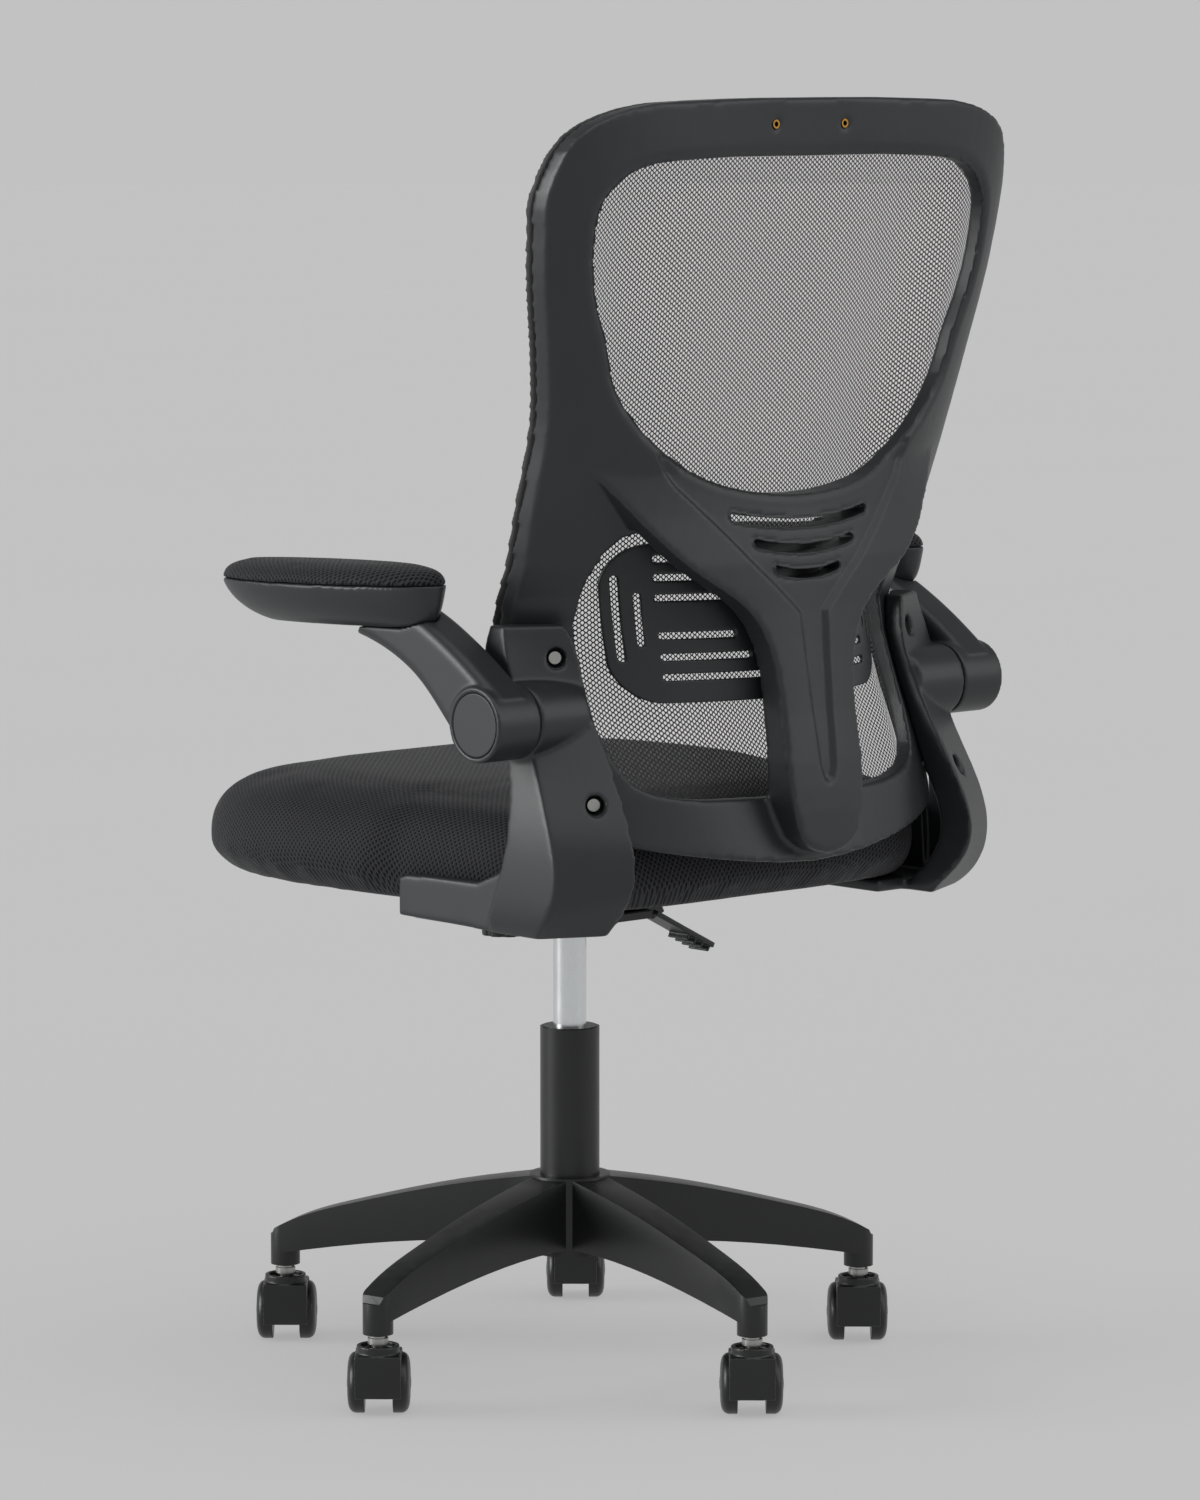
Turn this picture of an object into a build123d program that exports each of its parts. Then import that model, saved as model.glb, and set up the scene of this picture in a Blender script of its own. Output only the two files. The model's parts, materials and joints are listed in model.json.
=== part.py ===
from build123d import *
from math import atan2, cos, degrees, dist, radians, sin
import os

# Swivel office chair with a mesh back, flip-up armrests and a gas lift. Millimetres, +Z up.
# The chair faces -Y, the sitter's left is +X, and the column's axis meets the floor at the origin.

# ---- driving dimensions ----
STEM_CIRCLE = 258.6            # radius from the column to each caster stem
ARM_ANGLES = (-61.6, 10.4, 82.4, 154.4, 226.4)   # headings of the five base arms
HUB_TOP, HUB_BOTTOM, HUB_RADIUS = 163.5, 97.0, 34.0
SOCKET_Z, SOCKET_RADIUS = 69.0, 12.5
STEM_RADIUS, STEM_TOP = 5.5, 92.0
TRAIL, TRAIL_ANGLE = 18.0, 227.2                 # caster axle's offset from its stem and heading
WHEEL_RADIUS, WHEEL_INNER, WHEEL_OUTER = 25.0, 11.6, 26.5
HOOD_HALF, WEB_HALF, HOOD_RADIUS, HOOD_FLOOR = 18.8, 10.8, 28.7, 17.0
COLLAR_RADIUS, COLLAR_TOP, NOSE = 17.4, 60.0, 18.6
AXLE_RADIUS, RUNNING_GAP = 3.0, 0.05

TUBE_RADIUS, TUBE_WALL, TUBE_TOP = 25.0, 2.0, 288.7
LIFT_RADIUS, LIFT_BOTTOM, LIFT_TOP = 14.0, 205.0, 396.0
PISTON_ROD_RADIUS, PISTON_RADIUS = 4.0, 10.9
BEARING_Z = 103.0

PIVOT_Y, PIVOT_Z = -45.0, 400.0                  # tilt axis
KNOB_Y = -80.0
BOARD_Z, BOARD_THICK = 421.0, 12.0
SEAT_RIM, SEAT_TOP = 420.5, 507.0
SEAT_HALF, SEAT_FRONT, SEAT_REAR = 238.0, -246.0, 232.0
FOOT_FLOOR, FOOT_TOP = 409.5, 446.0              # underside and upper edge of the brackets' feet
LEVER_Y, LEVER_Z = -22.0, 400.0
PLATE_Z, PLATE_THICK = 417.5, 3.0

HUB_Y, HUB_Z, HUB_R = 199.0, 581.0, 30.0         # armrest pivot
HUB_SPLIT, HUB_END, CAP_RADIUS = 239.0, 284.0, 25.5
PAD_X, PAD_FRONT, PAD_REAR, PAD_HALF = 270.0, -117.0, 143.0, 42.0
SEAM_FRONT, SEAM_REAR = 677.5, 686.0             # height of the armrest's seam

FRAME_DEPTH = 18.0                               # front-to-back thickness of the rails
CARRIER_DEPTH, MESH_THICK, MESH_GAP = 6.0, 2.0, 0.6
INSERT_X, INSERT_Z, INSERT_RADIUS, INSERT_BORE = 38.3, 1047.4, 3.6, 2.1
FIT = 0.3                                        # gap between neighbouring curved faces

# Rear surface of the back's rim: height, half-width, then Y at the middle, at the rail and at the edge
RIM_LEVELS = (
    (452, 198, 295, 263, 241),
    (515, 203, 277, 247, 217),
    (558, 206, 265, 231, 194),
    (600, 208, 254, 212, 174),
    (652, 212.6, 243, 194, 164),
    (700, 218, 254, 214, 184),
    (760, 222, 269, 236, 205),
    (813, 227, 270, 249, 221),
    (870, 236.5, 271, 258, 233),
    (930, 248, 275.5, 268.5, 243),
    (1000, 254, 281, 277, 254),
    (1072, 256, 285, 281, 262),
)
# Rear surface of the stretched mesh at the same heights: Y at the middle, at 0.4 and at 0.75 of the half-width
MESH_LEVELS = ((269, 262.5, 242), (248.5, 242, 223), (230.5, 224, 202), (220, 212, 187), (212, 204, 178), (209.5, 203, 184),
               (212.5, 208, 200), (219, 216, 212), (227.5, 226, 223), (237, 236, 233), (250.5, 250, 247.5), (258.5, 259.3, 257.5))
# Rear surface of the Y-shaped spine: height, Y at the middle, Y at 200 mm out and depth
SPINE_LEVELS = ((460, 312, 300, 34), (500, 311, 268, 34), (540, 307, 250, 27), (580, 300.5, 240, 26),
                (620, 295, 247, 24), (660, 290, 253, 23), (700, 286, 258, 22), (740, 280, 243, 21),
                (780, 275, 230, 14), (820, 271, 216, 6))
# Left bracket: height, front edge Y, rear corner (X, Y), inner edge (X, Y)
BRACKET_LEVELS = (
    (409, 168, (236, 219), (183, 246)),
    (444, 178, (245, 247), (187.5, 278)),
    (474, 189, (245, 248.5), (189, 283.5)),
    (510, 192, (242, 235.6), (186, 269.5)),
    (552, 182, (236, 215.6), (183, 245.5)),
    (592, 165, (236, 199), (182, 223)),
    (630, 156, (236, 184), (182, 210)),
    (654, 160, (233, 177), (190, 202)),
)
BRACKET_WALL = 12.0
LUMBAR_LEVELS = ((580, 266, 214), (620, 264.5, 205), (660, 259.5, 197), (690, 255.5, 194), (722, 252, 193))
LUMBAR_THICK, SCREW_RADIUS, BOLT_RADIUS = 4.0, 2.6, 3.0
BACK_BOLTS = ((201.5, 206.0, 628.0), (206.0, 256.0, 515.5))   # recess mouths in the left bracket
BOLT_HEADING = 59.0                                           # their direction in plan


# ---- helpers ----
def at_heading(shape, heading, x=0.0, y=0.0):
    """Turn a shape about Z and then move it."""
    return Pos(x, y, 0) * Rot(0, 0, heading) * shape


def tube(outer, inner, bottom, top):
    """Upright ring."""
    height = top - bottom
    ring = Cylinder(outer, height) - Cylinder(inner, height + 2)
    return Pos(0, 0, (bottom + top) / 2) * ring


def rod(radius, bottom, top):
    """Upright bar."""
    return Pos(0, 0, (bottom + top) / 2) * Cylinder(radius, top - bottom)


def cross_rod(radius, x0, x1, y, z):
    """Bar along X."""
    return Pos((x0 + x1) / 2, y, z) * Rot(0, 90, 0) * Cylinder(radius, abs(x1 - x0))


def box(x0, x1, y0, y1, z0, z1):
    """Box between two corners."""
    return Pos((x0 + x1) / 2, (y0 + y1) / 2, (z0 + z1) / 2) * Box(x1 - x0, y1 - y0, z1 - z0)


def side_prism(points, x0, x1):
    """Outline in (Y, Z) drawn out along X."""
    face = make_face(Polyline([(0, y, z) for y, z in points], close=True))
    return Pos(x0, 0, 0) * extrude(face, x1 - x0, dir=(1, 0, 0))


def front_prism(edges):
    """Closed outline in the XZ plane drawn out through the whole back."""
    return Pos(0, 50, 0) * extrude(make_face(edges), 400, dir=(0, 1, 0))


def mix(a, b, t):
    """Point a fraction of the way from one to the other."""
    return tuple(p + (q - p) * t for p, q in zip(a, b))


def symmetric_loop(half, steps=3):
    """Closed run of points along a centripetal curve through a left half's points and their mirror."""
    points = half + [(-p, q) for p, q in reversed(half[1:-1])]
    loop = []
    for i in range(len(points)):
        p0, p1, p2, p3 = (points[(i + k) % len(points)] for k in (-1, 0, 1, 2))
        t1 = dist(p0, p1) ** 0.5
        t2 = t1 + dist(p1, p2) ** 0.5
        t3 = t2 + dist(p2, p3) ** 0.5
        for step in range(steps):
            t = t1 + (t2 - t1) * step / steps
            a, b, c = mix(p0, p1, t / t1), mix(p1, p2, (t - t1) / (t2 - t1)), mix(p2, p3, (t - t2) / (t3 - t2))
            loop.append(mix(mix(a, b, t / t2), mix(b, c, (t - t1) / (t3 - t1)), (t - t1) / (t2 - t1)))
    return loop


def mirrored(shape):
    """The same piece for the chair's right side."""
    return mirror(shape, Plane.YZ)


# ---- base and casters ----
def base_arm():
    """One arm: a deep web that thins outwards, open underneath, with a socket at its end."""
    tip = STEM_CIRCLE
    top = Spline([(18, 0, 163.5), (115, 0, 147), (195, 0, 127), (246, 0, 110.5), (tip + 6, 0, 101)])
    end = [Line(top @ 1, (tip + SOCKET_RADIUS - 1, 0, 90)), Line((tip + SOCKET_RADIUS - 1, 0, 90), (tip, 0, 80))]
    under = Spline([(tip, 0, 80), (190, 0, 92), (115, 0, 101), (18, 0, 103)])
    side = make_face([top, *end, under, Line(under @ 1, top @ 0)])
    web = extrude(side, 20, both=True, dir=(0, 1, 0))
    plan = make_face(Polyline([(18, -18, 0), (tip, -SOCKET_RADIUS, 0), (tip, SOCKET_RADIUS, 0), (18, 18, 0)],
                              close=True))
    web = (web & extrude(plan, 200)) + (web & Pos(tip, 0, 100) * Cylinder(SOCKET_RADIUS, 100))
    channel = box(36, tip - 18, -20, 20, 0, 200) & extrude(
        make_face(Polyline([(18, -13.5, 0), (tip, -8, 0), (tip, 8, 0), (18, 13.5, 0)], close=True)), 200)
    web = web - (channel & Pos(0, 0, -6) * extrude(side, 20, both=True, dir=(0, 1, 0)))
    socket = Pos(tip, 0, (SOCKET_Z + 95) / 2) * Cylinder(SOCKET_RADIUS, 95 - SOCKET_Z)
    return web + socket


def base():
    """Five-armed base with a bored hub and five stem sockets."""
    body = rod(HUB_RADIUS, HUB_BOTTOM, HUB_TOP)
    for heading in ARM_ANGLES:
        body += at_heading(base_arm(), heading)
    body -= rod(TUBE_RADIUS, 0, 200)
    for x, y in stem_places():
        body -= Pos(x, y, 0) * rod(STEM_RADIUS, 0, STEM_TOP)
    return body


def stem_places():
    """Plan positions of the caster stems."""
    return [(STEM_CIRCLE * cos(radians(a)), STEM_CIRCLE * sin(radians(a))) for a in ARM_ANGLES]


def caster_stems():
    """Steel pins pressed into the base, each with a collar that carries the caster."""
    pin = rod(STEM_RADIUS, 44, STEM_TOP) + rod(8.5, 61, 66)
    return Compound([Pos(x, y, 0) * pin for x, y in stem_places()])


def stem_clips():
    """Spring clip round each stem, just above its caster."""
    clip = tube(7.6, STEM_RADIUS, 66.4, 67.6) - box(-2, 2, 0, 10, 60, 70)
    return Compound([at_heading(clip, 20, x, y) for x, y in stem_places()])


def caster_housing():
    """Hooded carrier: a web between the wheels, a hood over them and a collar round the stem."""
    crown = WHEEL_RADIUS + HOOD_RADIUS
    slant = HOOD_RADIUS * cos(radians(45))
    nose = Polyline([(-NOSE, 0, 53), (-NOSE, 0, 48), (-17.2, 0, 36), (-12, 0, HOOD_FLOOR),
                     (34, 0, HOOD_FLOOR), (TRAIL + HOOD_RADIUS, 0, WHEEL_RADIUS)])
    back = ThreePointArc((TRAIL + HOOD_RADIUS, 0, WHEEL_RADIUS), (TRAIL + slant, 0, WHEEL_RADIUS + slant),
                         (TRAIL, 0, crown))
    body = extrude(make_face([nose, back, Line((TRAIL, 0, crown), (-NOSE, 0, 53))]), HOOD_HALF,
                   both=True, dir=(0, 1, 0))
    body += rod(COLLAR_RADIUS, 48, COLLAR_TOP) - rod(COLLAR_RADIUS - 3, 55, 70)
    for side in (-1, 1):
        body -= Pos(TRAIL, side * (WEB_HALF + 20), WHEEL_RADIUS) * Rot(90, 0, 0) * Cylinder(26.4, 40)
    body -= rod(STEM_RADIUS + RUNNING_GAP, 43.5, 80)
    body -= Pos(TRAIL, 0, WHEEL_RADIUS) * Rot(90, 0, 0) * Cylinder(AXLE_RADIUS + RUNNING_GAP, 80)
    return body


def caster_wheel(side):
    """One wheel with a flat tread and a domed face, on its side of the web."""
    face = make_face([
        Polyline([(AXLE_RADIUS, WHEEL_INNER), (WHEEL_RADIUS, WHEEL_INNER), (WHEEL_RADIUS, 19)]),
        Spline([(WHEEL_RADIUS, 19), (23.4, 22.4), (17, 25.2), (AXLE_RADIUS, WHEEL_OUTER)]),
        Line((AXLE_RADIUS, WHEEL_OUTER), (AXLE_RADIUS, WHEEL_INNER)),
    ])
    wheel = revolve(face, Axis.Y)
    if side < 0:
        wheel = mirror(wheel, Plane.XZ)
    return Pos(TRAIL, 0, WHEEL_RADIUS) * wheel


def caster_axle():
    """Axle that both wheels of a caster press onto."""
    return Pos(TRAIL, 0, WHEEL_RADIUS) * Rot(90, 0, 0) * Cylinder(AXLE_RADIUS, 2 * 22)


# ---- column ----
def column_tube():
    """Outer tube of the gas lift, with a floor that the thrust bearing stands on."""
    return tube(TUBE_RADIUS, TUBE_RADIUS - TUBE_WALL, 98, TUBE_TOP) + tube(TUBE_RADIUS - 1, 8, 98, 101)


def guide_sleeve():
    """Nylon sleeve that guides the lift, with a lip at the top of the tube."""
    return tube(TUBE_RADIUS - TUBE_WALL, LIFT_RADIUS + RUNNING_GAP, 215, TUBE_TOP + 0.8)


def thrust_bearing():
    """Ball race between the tube's floor and the piston rod."""
    ring = tube(13, 7, BEARING_Z - 2, BEARING_Z) + tube(13, 7, BEARING_Z + 3, BEARING_Z + 5)
    balls = [Pos(10 * cos(radians(a)), 10 * sin(radians(a)), BEARING_Z + 1.5) * Sphere(1.9)
             for a in range(0, 360, 45)]
    return ring + balls


def piston_rod():
    """Rod that stays in the tube: a shoulder on the bearing, a foot below it and a piston on top."""
    return (rod(PISTON_ROD_RADIUS, 94, 226) + rod(12, BEARING_Z + 5.2, BEARING_Z + 8)
            + rod(PISTON_RADIUS, 214, 226))


def rod_clip():
    """Clip on the piston rod's foot, under the tube's floor."""
    return tube(9.5, PISTON_ROD_RADIUS, 95.5, 97.5) - box(-2, 2, 3, 20, 90, 99)


def gas_cylinder():
    """Bright cylinder of the gas lift, hollow for the piston."""
    body = rod(LIFT_RADIUS, LIFT_BOTTOM, LIFT_TOP) - rod(PISTON_RADIUS + RUNNING_GAP, LIFT_BOTTOM + 4, 370)
    return body - rod(PISTON_ROD_RADIUS + RUNNING_GAP, 200, 220) - rod(3.05, 360, 400)


def release_button():
    """Valve pin in the top of the cylinder."""
    return rod(3.0, 372, LIFT_TOP + 3.5)


# ---- mechanism ----
def mechanism_housing():
    """Pressed box under the seat with the column's socket and low rear walls that leave room to tilt."""
    side = [(-112, 386), (-112, 407), (-60, 410), (-20, 408), (56, 388), (56, 382), (26, 379), (-60, 384)]
    inner = [(-109, 389), (-109, 420), (53, 420), (53, 385), (26, 382), (-60, 387)]
    body = side_prism(side, -42, 42) - side_prism(inner, -39, 39)
    body += rod(24, 372, 392)
    body += Pos(0, KNOB_Y, 0) * rod(11, 384, 391)
    body -= rod(LIFT_RADIUS, 360, 400)
    body -= box(-5, 5, KNOB_Y - 8, KNOB_Y + 8, 370, 400)
    body -= box(-50, -30, LEVER_Y - 9, LEVER_Y + 9, LEVER_Z - 7, LEVER_Z + 20)
    return body - cross_rod(5.0, -60, 60, PIVOT_Y, PIVOT_Z)


def tilt_pin():
    """Pin that the seat plate rocks on."""
    return cross_rod(5.0, -52, 52, PIVOT_Y, PIVOT_Z) + cross_rod(7.5, -54.5, -52, PIVOT_Y, PIVOT_Z) \
        + cross_rod(7.5, 52, 54.5, PIVOT_Y, PIVOT_Z)


def seat_plate():
    """Plate under the seat board, with two lugs that hold the tilt pin."""
    plate = box(-100, 100, -118, 92, PLATE_Z, PLATE_Z + PLATE_THICK)
    lug = [(PIVOT_Y - 22, PLATE_Z + 1), (PIVOT_Y - 10, 390), (PIVOT_Y + 10, 390), (PIVOT_Y + 22, PLATE_Z + 1)]
    for x0 in (-48, 44):
        plate += side_prism(lug, x0, x0 + 4)
    plate -= cross_rod(5.0 + RUNNING_GAP, -60, 60, PIVOT_Y, PIVOT_Z)
    for x, y in plate_bolt_places():
        plate -= Pos(x, y, 0) * rod(3.2, 400, 430)
    return plate - Pos(0, KNOB_Y, 0) * rod(4.0, 400, 430)


def plate_bolt_places():
    """Plan positions of the four bolts that hold the seat board on its plate."""
    return [(x, y) for x in (-82, 82) for y in (-100, 74)]


def foot_bolt_places():
    """Plan positions of the bolts that hold the brackets' feet under the seat board."""
    return [(side * 165, y) for side in (-1, 1) for y in (80, 125, 170)]


def hex_bolt(x, y, head_top, tip):
    """Upright bolt with its head below."""
    head = extrude(RegularPolygon(5.8, 6), 4)
    return Pos(x, y, 0) * (Pos(0, 0, head_top - 4) * head + rod(3.0, head_top - 1, tip))


def plate_bolts():
    """Bolts through the seat plate."""
    return Compound([hex_bolt(x, y, PLATE_Z, BOARD_Z + BOARD_THICK - 1) for x, y in plate_bolt_places()])


def foot_bolts():
    """Bolts through the brackets' feet."""
    return Compound([hex_bolt(x, y, FOOT_FLOOR + 4.5, BOARD_Z + BOARD_THICK - 1)
                     for x, y in foot_bolt_places()])


def height_lever():
    """Rod from the release button to a ribbed paddle on the chair's right, which slopes down."""
    finger = box(-8, 3, -6, 6, LIFT_TOP + 4, LIFT_TOP + 6.2)
    bar = cross_rod(4.0, -104, -41, LEVER_Y, LEVER_Z) + box(-46, -8, -26, -19, LIFT_TOP + 2.5, LIFT_TOP + 6.2)
    bar += box(-12, -5, -26, 6, LIFT_TOP + 4, LIFT_TOP + 6.2)
    neck = [(-94, LEVER_Z + 4), (-106, LEVER_Z + 4), (-126, 372), (-112, 366), (-94, LEVER_Z - 4)]
    bar += Pos(0, LEVER_Y - 5, 0) * extrude(make_face(Polyline([(x, 0, z) for x, z in neck], close=True)), 10,
                                            dir=(0, 1, 0))
    paddle = box(-72, 4, -13, 13, -2, 2.5)
    for x in (-69, -60, -51, -42):
        paddle += box(x, x + 2.4, -12, 12, -7, -1)
    return finger + bar + Pos(-116, LEVER_Y - 3, 370) * Rot(0, -27, 0) * paddle


def tension_spring():
    """Coil between the housing's floor and the knob."""
    coil = Helix(pitch=2.9, height=8.7, radius=9)
    wire = sweep((Plane(coil @ 0, z_dir=coil % 0) * Circle(1.1)), coil)
    return Pos(0, KNOB_Y, 373.8) * wire


def tension_knob():
    """Fluted knob with its bolt, which hangs from the seat plate."""
    grip = rod(21, 358, 371) - [at_heading(Pos(24, 0, 0) * rod(5, 350, 380), a, 0, 0) for a in range(0, 360, 40)]
    return Pos(0, KNOB_Y, 0) * (grip + rod(3.95, 370, PLATE_Z + PLATE_THICK))


# ---- seat ----
def seat_outline(inset=0.0):
    """Plan of the seat: wide and rounded in front, narrower behind."""
    w, f, r = SEAT_HALF - inset, SEAT_FRONT + inset, SEAT_REAR - inset
    half = [(0, f), (110, f + 4), (w - 42, f + 22), (w - 10, f + 82), (w, f + 190), (w - 14, 90),
            (w - 26, 170), (w - 46, r - 20), (110, r), (0, r + 2)]
    return make_face(Spline([(x, y, 0) for x, y in symmetric_loop(half)], periodic=True))


def seat_board():
    """Board inside the seat."""
    return Pos(0, 0, BOARD_Z) * extrude(seat_outline(22), BOARD_THICK) - [
        Pos(x, y, 0) * rod(3.0, 400, BOARD_Z + BOARD_THICK - 1) for x, y in plate_bolt_places() + foot_bolt_places()]


def seat_cushion():
    """Crowned foam cushion whose rim hangs round the board."""
    rim = loft([Pos(0, 0, z) * seat_outline(inset) for z, inset in
                ((SEAT_RIM, 12), (438, 1), (465, 0), (488, 9), (500, 26), (SEAT_TOP, 62))])
    return rim - Pos(0, 0, SEAT_RIM - 1) * extrude(seat_outline(21.5), BOARD_Z + BOARD_THICK + FIT - SEAT_RIM + 1)


# ---- back ----
def crescent(z, run, depth, grow=0.0):
    """Section between a rear curve through (X, Y) points and the same curve moved forward."""
    rear, front = (Spline([(x, y + shift, z) for x, y in run]) for shift in (grow, -depth - grow))
    return make_face([rear, Line(rear @ 1, front @ 1), front, Line(front @ 0, rear @ 0)])


def rim_run(half, mid, rail, edge):
    """Points across the rim's rear surface, from 14 mm outside one edge to 14 mm outside the other."""
    right = [(0.8 * half, rail), (half, edge), (half + 14, edge - 15)]
    return [(-x, y) for x, y in reversed(right)] + [(0, mid)] + right


def plan_section(z, half, mid, rail, edge, depth, grow=0.0):
    """Crescent section of the back's rim at one height."""
    return crescent(z, rim_run(half, mid, rail, edge), depth, grow)


def bowed_section(z, half, mid, end, depth):
    """Section of a plate bowed to one parabola in plan."""
    run = [(half * t, mid - (mid - end) * t * t) for t in (-1, -0.5, 0, 0.5, 1)]
    return crescent(z, run, depth)


def symmetric_outline(half):
    """Smooth outline in the XZ plane from the points of its left half, drawn through the back."""
    return front_prism(Polyline([(x, 0, z) for x, z in symmetric_loop(half)], close=True))


def finer(levels):
    """Levels with one more between each two, on a smooth curve through them."""
    levels = list(levels)
    padded = [levels[0]] + levels + [levels[-1]]
    result = [levels[0]]
    for p0, p1, p2, p3 in zip(padded, padded[1:], padded[2:], padded[3:]):
        result += [[(9 * (b + c) - a - d) / 16 for a, b, c, d in zip(p0, p1, p2, p3)], p2]
    return result


def y_on(curve, x):
    """Y of a curve that runs towards +X, where it passes X."""
    low, high = 0.0, 1.0
    while high - low > 1e-5:
        middle = (low + high) / 2
        low, high = (middle, high) if (curve @ middle).X < x else (low, middle)
    return (curve @ low).Y


def rim_block(depth=FRAME_DEPTH, grow=0.0):
    """The whole crescent-shaped slab that the rim and rails are cut from."""
    return loft([plan_section(*level, depth, grow) for level in finer(RIM_LEVELS)], ruled=True)


def rim_outline():
    """Outer edge of the back."""
    half = [(0, 1068), (110, 1067), (190, 1061), (236, 1040), (253.5, 996), (251.5, 960), (247, 924),
            (235.7, 869), (226, 814), (221.7, 746), (214.8, 672), (209, 610), (206, 560), (203, 520),
            (192, 492), (164.7, 479.5), (95, 466), (0, 457.5)]
    return symmetric_outline(half)


def upper_window():
    """Large window over the spine."""
    half = [(0, 1022), (120, 1021), (185, 1013), (212, 988), (215.5, 955), (209, 915), (195, 880),
            (181.5, 841), (154, 807), (122, 783), (80, 762.6), (0, 752.5)]
    return symmetric_outline(half)


def lower_opening():
    """Opening of the rim below the spine's arms."""
    half = [(0, 726), (120, 727), (156, 722), (169, 700), (171.5, 654), (172, 605), (169, 558), (155, 527),
            (120, 515), (60, 511), (0, 510)]
    return symmetric_outline(half)


def spine_outline():
    """Y outline of the spine and its arms."""
    right = [(204, 788), (186.6, 770), (166.8, 746), (114.4, 694), (61, 656), (47, 629), (41, 581),
             (38, 502), (31, 480)]
    side = Spline([(x, 0, z) for x, z in right])
    foot = ThreePointArc(side @ 1, (0, 0, 466), (-31, 0, 480))
    other = Spline([(-x, 0, z) for x, z in reversed(right)])
    return front_prism([side, foot, other, Line(other @ 1, side @ 0)])


def vent_slots():
    """Three curved slots across the spine's top."""
    slots = []
    for half, z, bow in ((76, 738.5, 8.5), (55.8, 716.8, 7.0), (36.8, 695, 5.5)):
        top = ThreePointArc((-half, 0, z + 3), (0, 0, z + 3 - bow), (half, 0, z + 3))
        low = ThreePointArc((-half, 0, z - 4), (0, 0, z - 4 - bow), (half, 0, z - 4))
        left, right = Line(top @ 0, low @ 0), Line(low @ 1, top @ 1)
        slots.append(front_prism([top, left, low, right]))
    return slots


def back_frame():
    """Moulded back: crescent rim with two openings, and the raised Y spine across them."""
    rim = (rim_block() & rim_outline()) - lower_opening()
    spine = loft([bowed_section(z, 240, mid, mid - (mid - out) * 1.44, depth)
                  for z, mid, out, depth in finer(SPINE_LEVELS)], ruled=True) & spine_outline() & rim_outline()
    body = (rim + spine) - upper_window()
    for slot in vent_slots():
        body -= slot
    for side in (-1, 1):
        body -= Pos(side * INSERT_X, 280, INSERT_Z) * Rot(90, 0, 0) * Cylinder(INSERT_RADIUS, 26)
        body -= lumbar_screw(side, SCREW_RADIUS)
    for place in BACK_BOLTS:
        hole = along_bolt(*place, BOLT_RADIUS, -50, 0)
        body -= hole + mirrored(hole)
    return body


def headrest_inserts():
    """Threaded brass inserts in the top rail, for a headrest."""
    sleeve = Rot(90, 0, 0) * (Cylinder(INSERT_RADIUS, 13) - Cylinder(INSERT_BORE, 20))
    return Compound([Pos(side * INSERT_X, 277.6, INSERT_Z) * sleeve for side in (-1, 1)])


def mesh_carrier():
    """Thin ring that the mesh is stretched on, clipped to the front of the rim."""
    front = FRAME_DEPTH + MESH_GAP
    ring = loft([plan_section(z, half, mid - front, rail - front, edge - front, CARRIER_DEPTH)
                 for z, half, mid, rail, edge in finer(RIM_LEVELS)], ruled=True) & rim_outline()
    half = [(0, 1046), (110, 1045), (180, 1040), (222, 1018), (233, 990), (231, 955), (227, 915), (216.5, 860),
            (208, 805), (204.5, 746), (197.5, 672), (192, 610), (189, 560), (184.5, 525), (172, 507), (150, 500),
            (90, 489), (0, 481)]
    return ring - symmetric_outline(half)


def back_mesh():
    """Stretched mesh over the front of the carrier."""
    front = FRAME_DEPTH + CARRIER_DEPTH + 2 * MESH_GAP
    sections = []
    for (z, half, mid, rail, edge), inner in zip(finer(RIM_LEVELS), finer(MESH_LEVELS)):
        rim = Spline([(x, y - front, z) for x, y in rim_run(half, mid, rail, edge)])
        outer = [(t * half, y_on(rim, t * half)) for t in (0.84, 0.92, 1)] + [(half + 14, edge - 15 - front)]
        right = [(0.4 * half, inner[1]), (0.75 * half, inner[2])] + outer
        sections.append(crescent(z, [(-x, y) for x, y in reversed(right)] + [(0, inner[0])] + right, MESH_THICK))
    return loft(sections, ruled=True) & rim_outline()


def lumbar_pad():
    """Slotted lumbar plate between the mesh and the spine."""
    pad = loft([bowed_section(z, 150, mid, end, LUMBAR_THICK) for z, mid, end in LUMBAR_LEVELS])
    pad &= Pos(0, 50, 652) * extrude(Plane.XZ * RectangleRounded(296, 127, 36), -400)
    for side in (-1, 1):
        for x, z0, z1 in ((138, 622, 690), (124, 634, 676)):
            pad -= box(side * x - 2.5, side * x + 2.5, 150, 300, z0, z1)
        for z, x0, x1 in ((703, 44, 112), (688, 48, 112), (672, 52, 112), (642, 52, 112), (625, 40, 112),
                          (609, 30, 112)):
            low, high = sorted((side * x0, side * x1))
            pad -= box(low, high, 150, 300, z - 2.5, z + 2.5)
        pad -= lumbar_screw(side, SCREW_RADIUS + 0.3)
    return pad


def lumbar_screw(side, radius):
    """Bar along a lumbar screw's axis, from in front of the pad into the spine."""
    return Pos(side * 20, 262, 657) * Rot(90, 0, 0) * Cylinder(radius, 24)


def lumbar_screws():
    """Screws that fasten the lumbar plate to the spine."""
    heads = [Pos(side * 20, 251.5, 657) * Rot(90, 0, 0) * Cylinder(5.5, 3) for side in (-1, 1)]
    return Compound([head + lumbar_screw(side, SCREW_RADIUS) for head, side in zip(heads, (-1, 1))])


# ---- brackets ----
def bracket_section(z, front, corner, inner):
    """L-shaped section: side wall ahead of the rear corner, rear wall from it towards the spine."""
    (xc, yc), (xi, yi) = corner, inner
    depth = 34
    return make_face(Polyline([(xc, front, z), (xc, yc, z), (xi, yi, z), (xi - 1, yi - depth, z),
                               (xc - BRACKET_WALL - 2, yc - depth, z), (xc - BRACKET_WALL, front, z)],
                              close=True))


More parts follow.
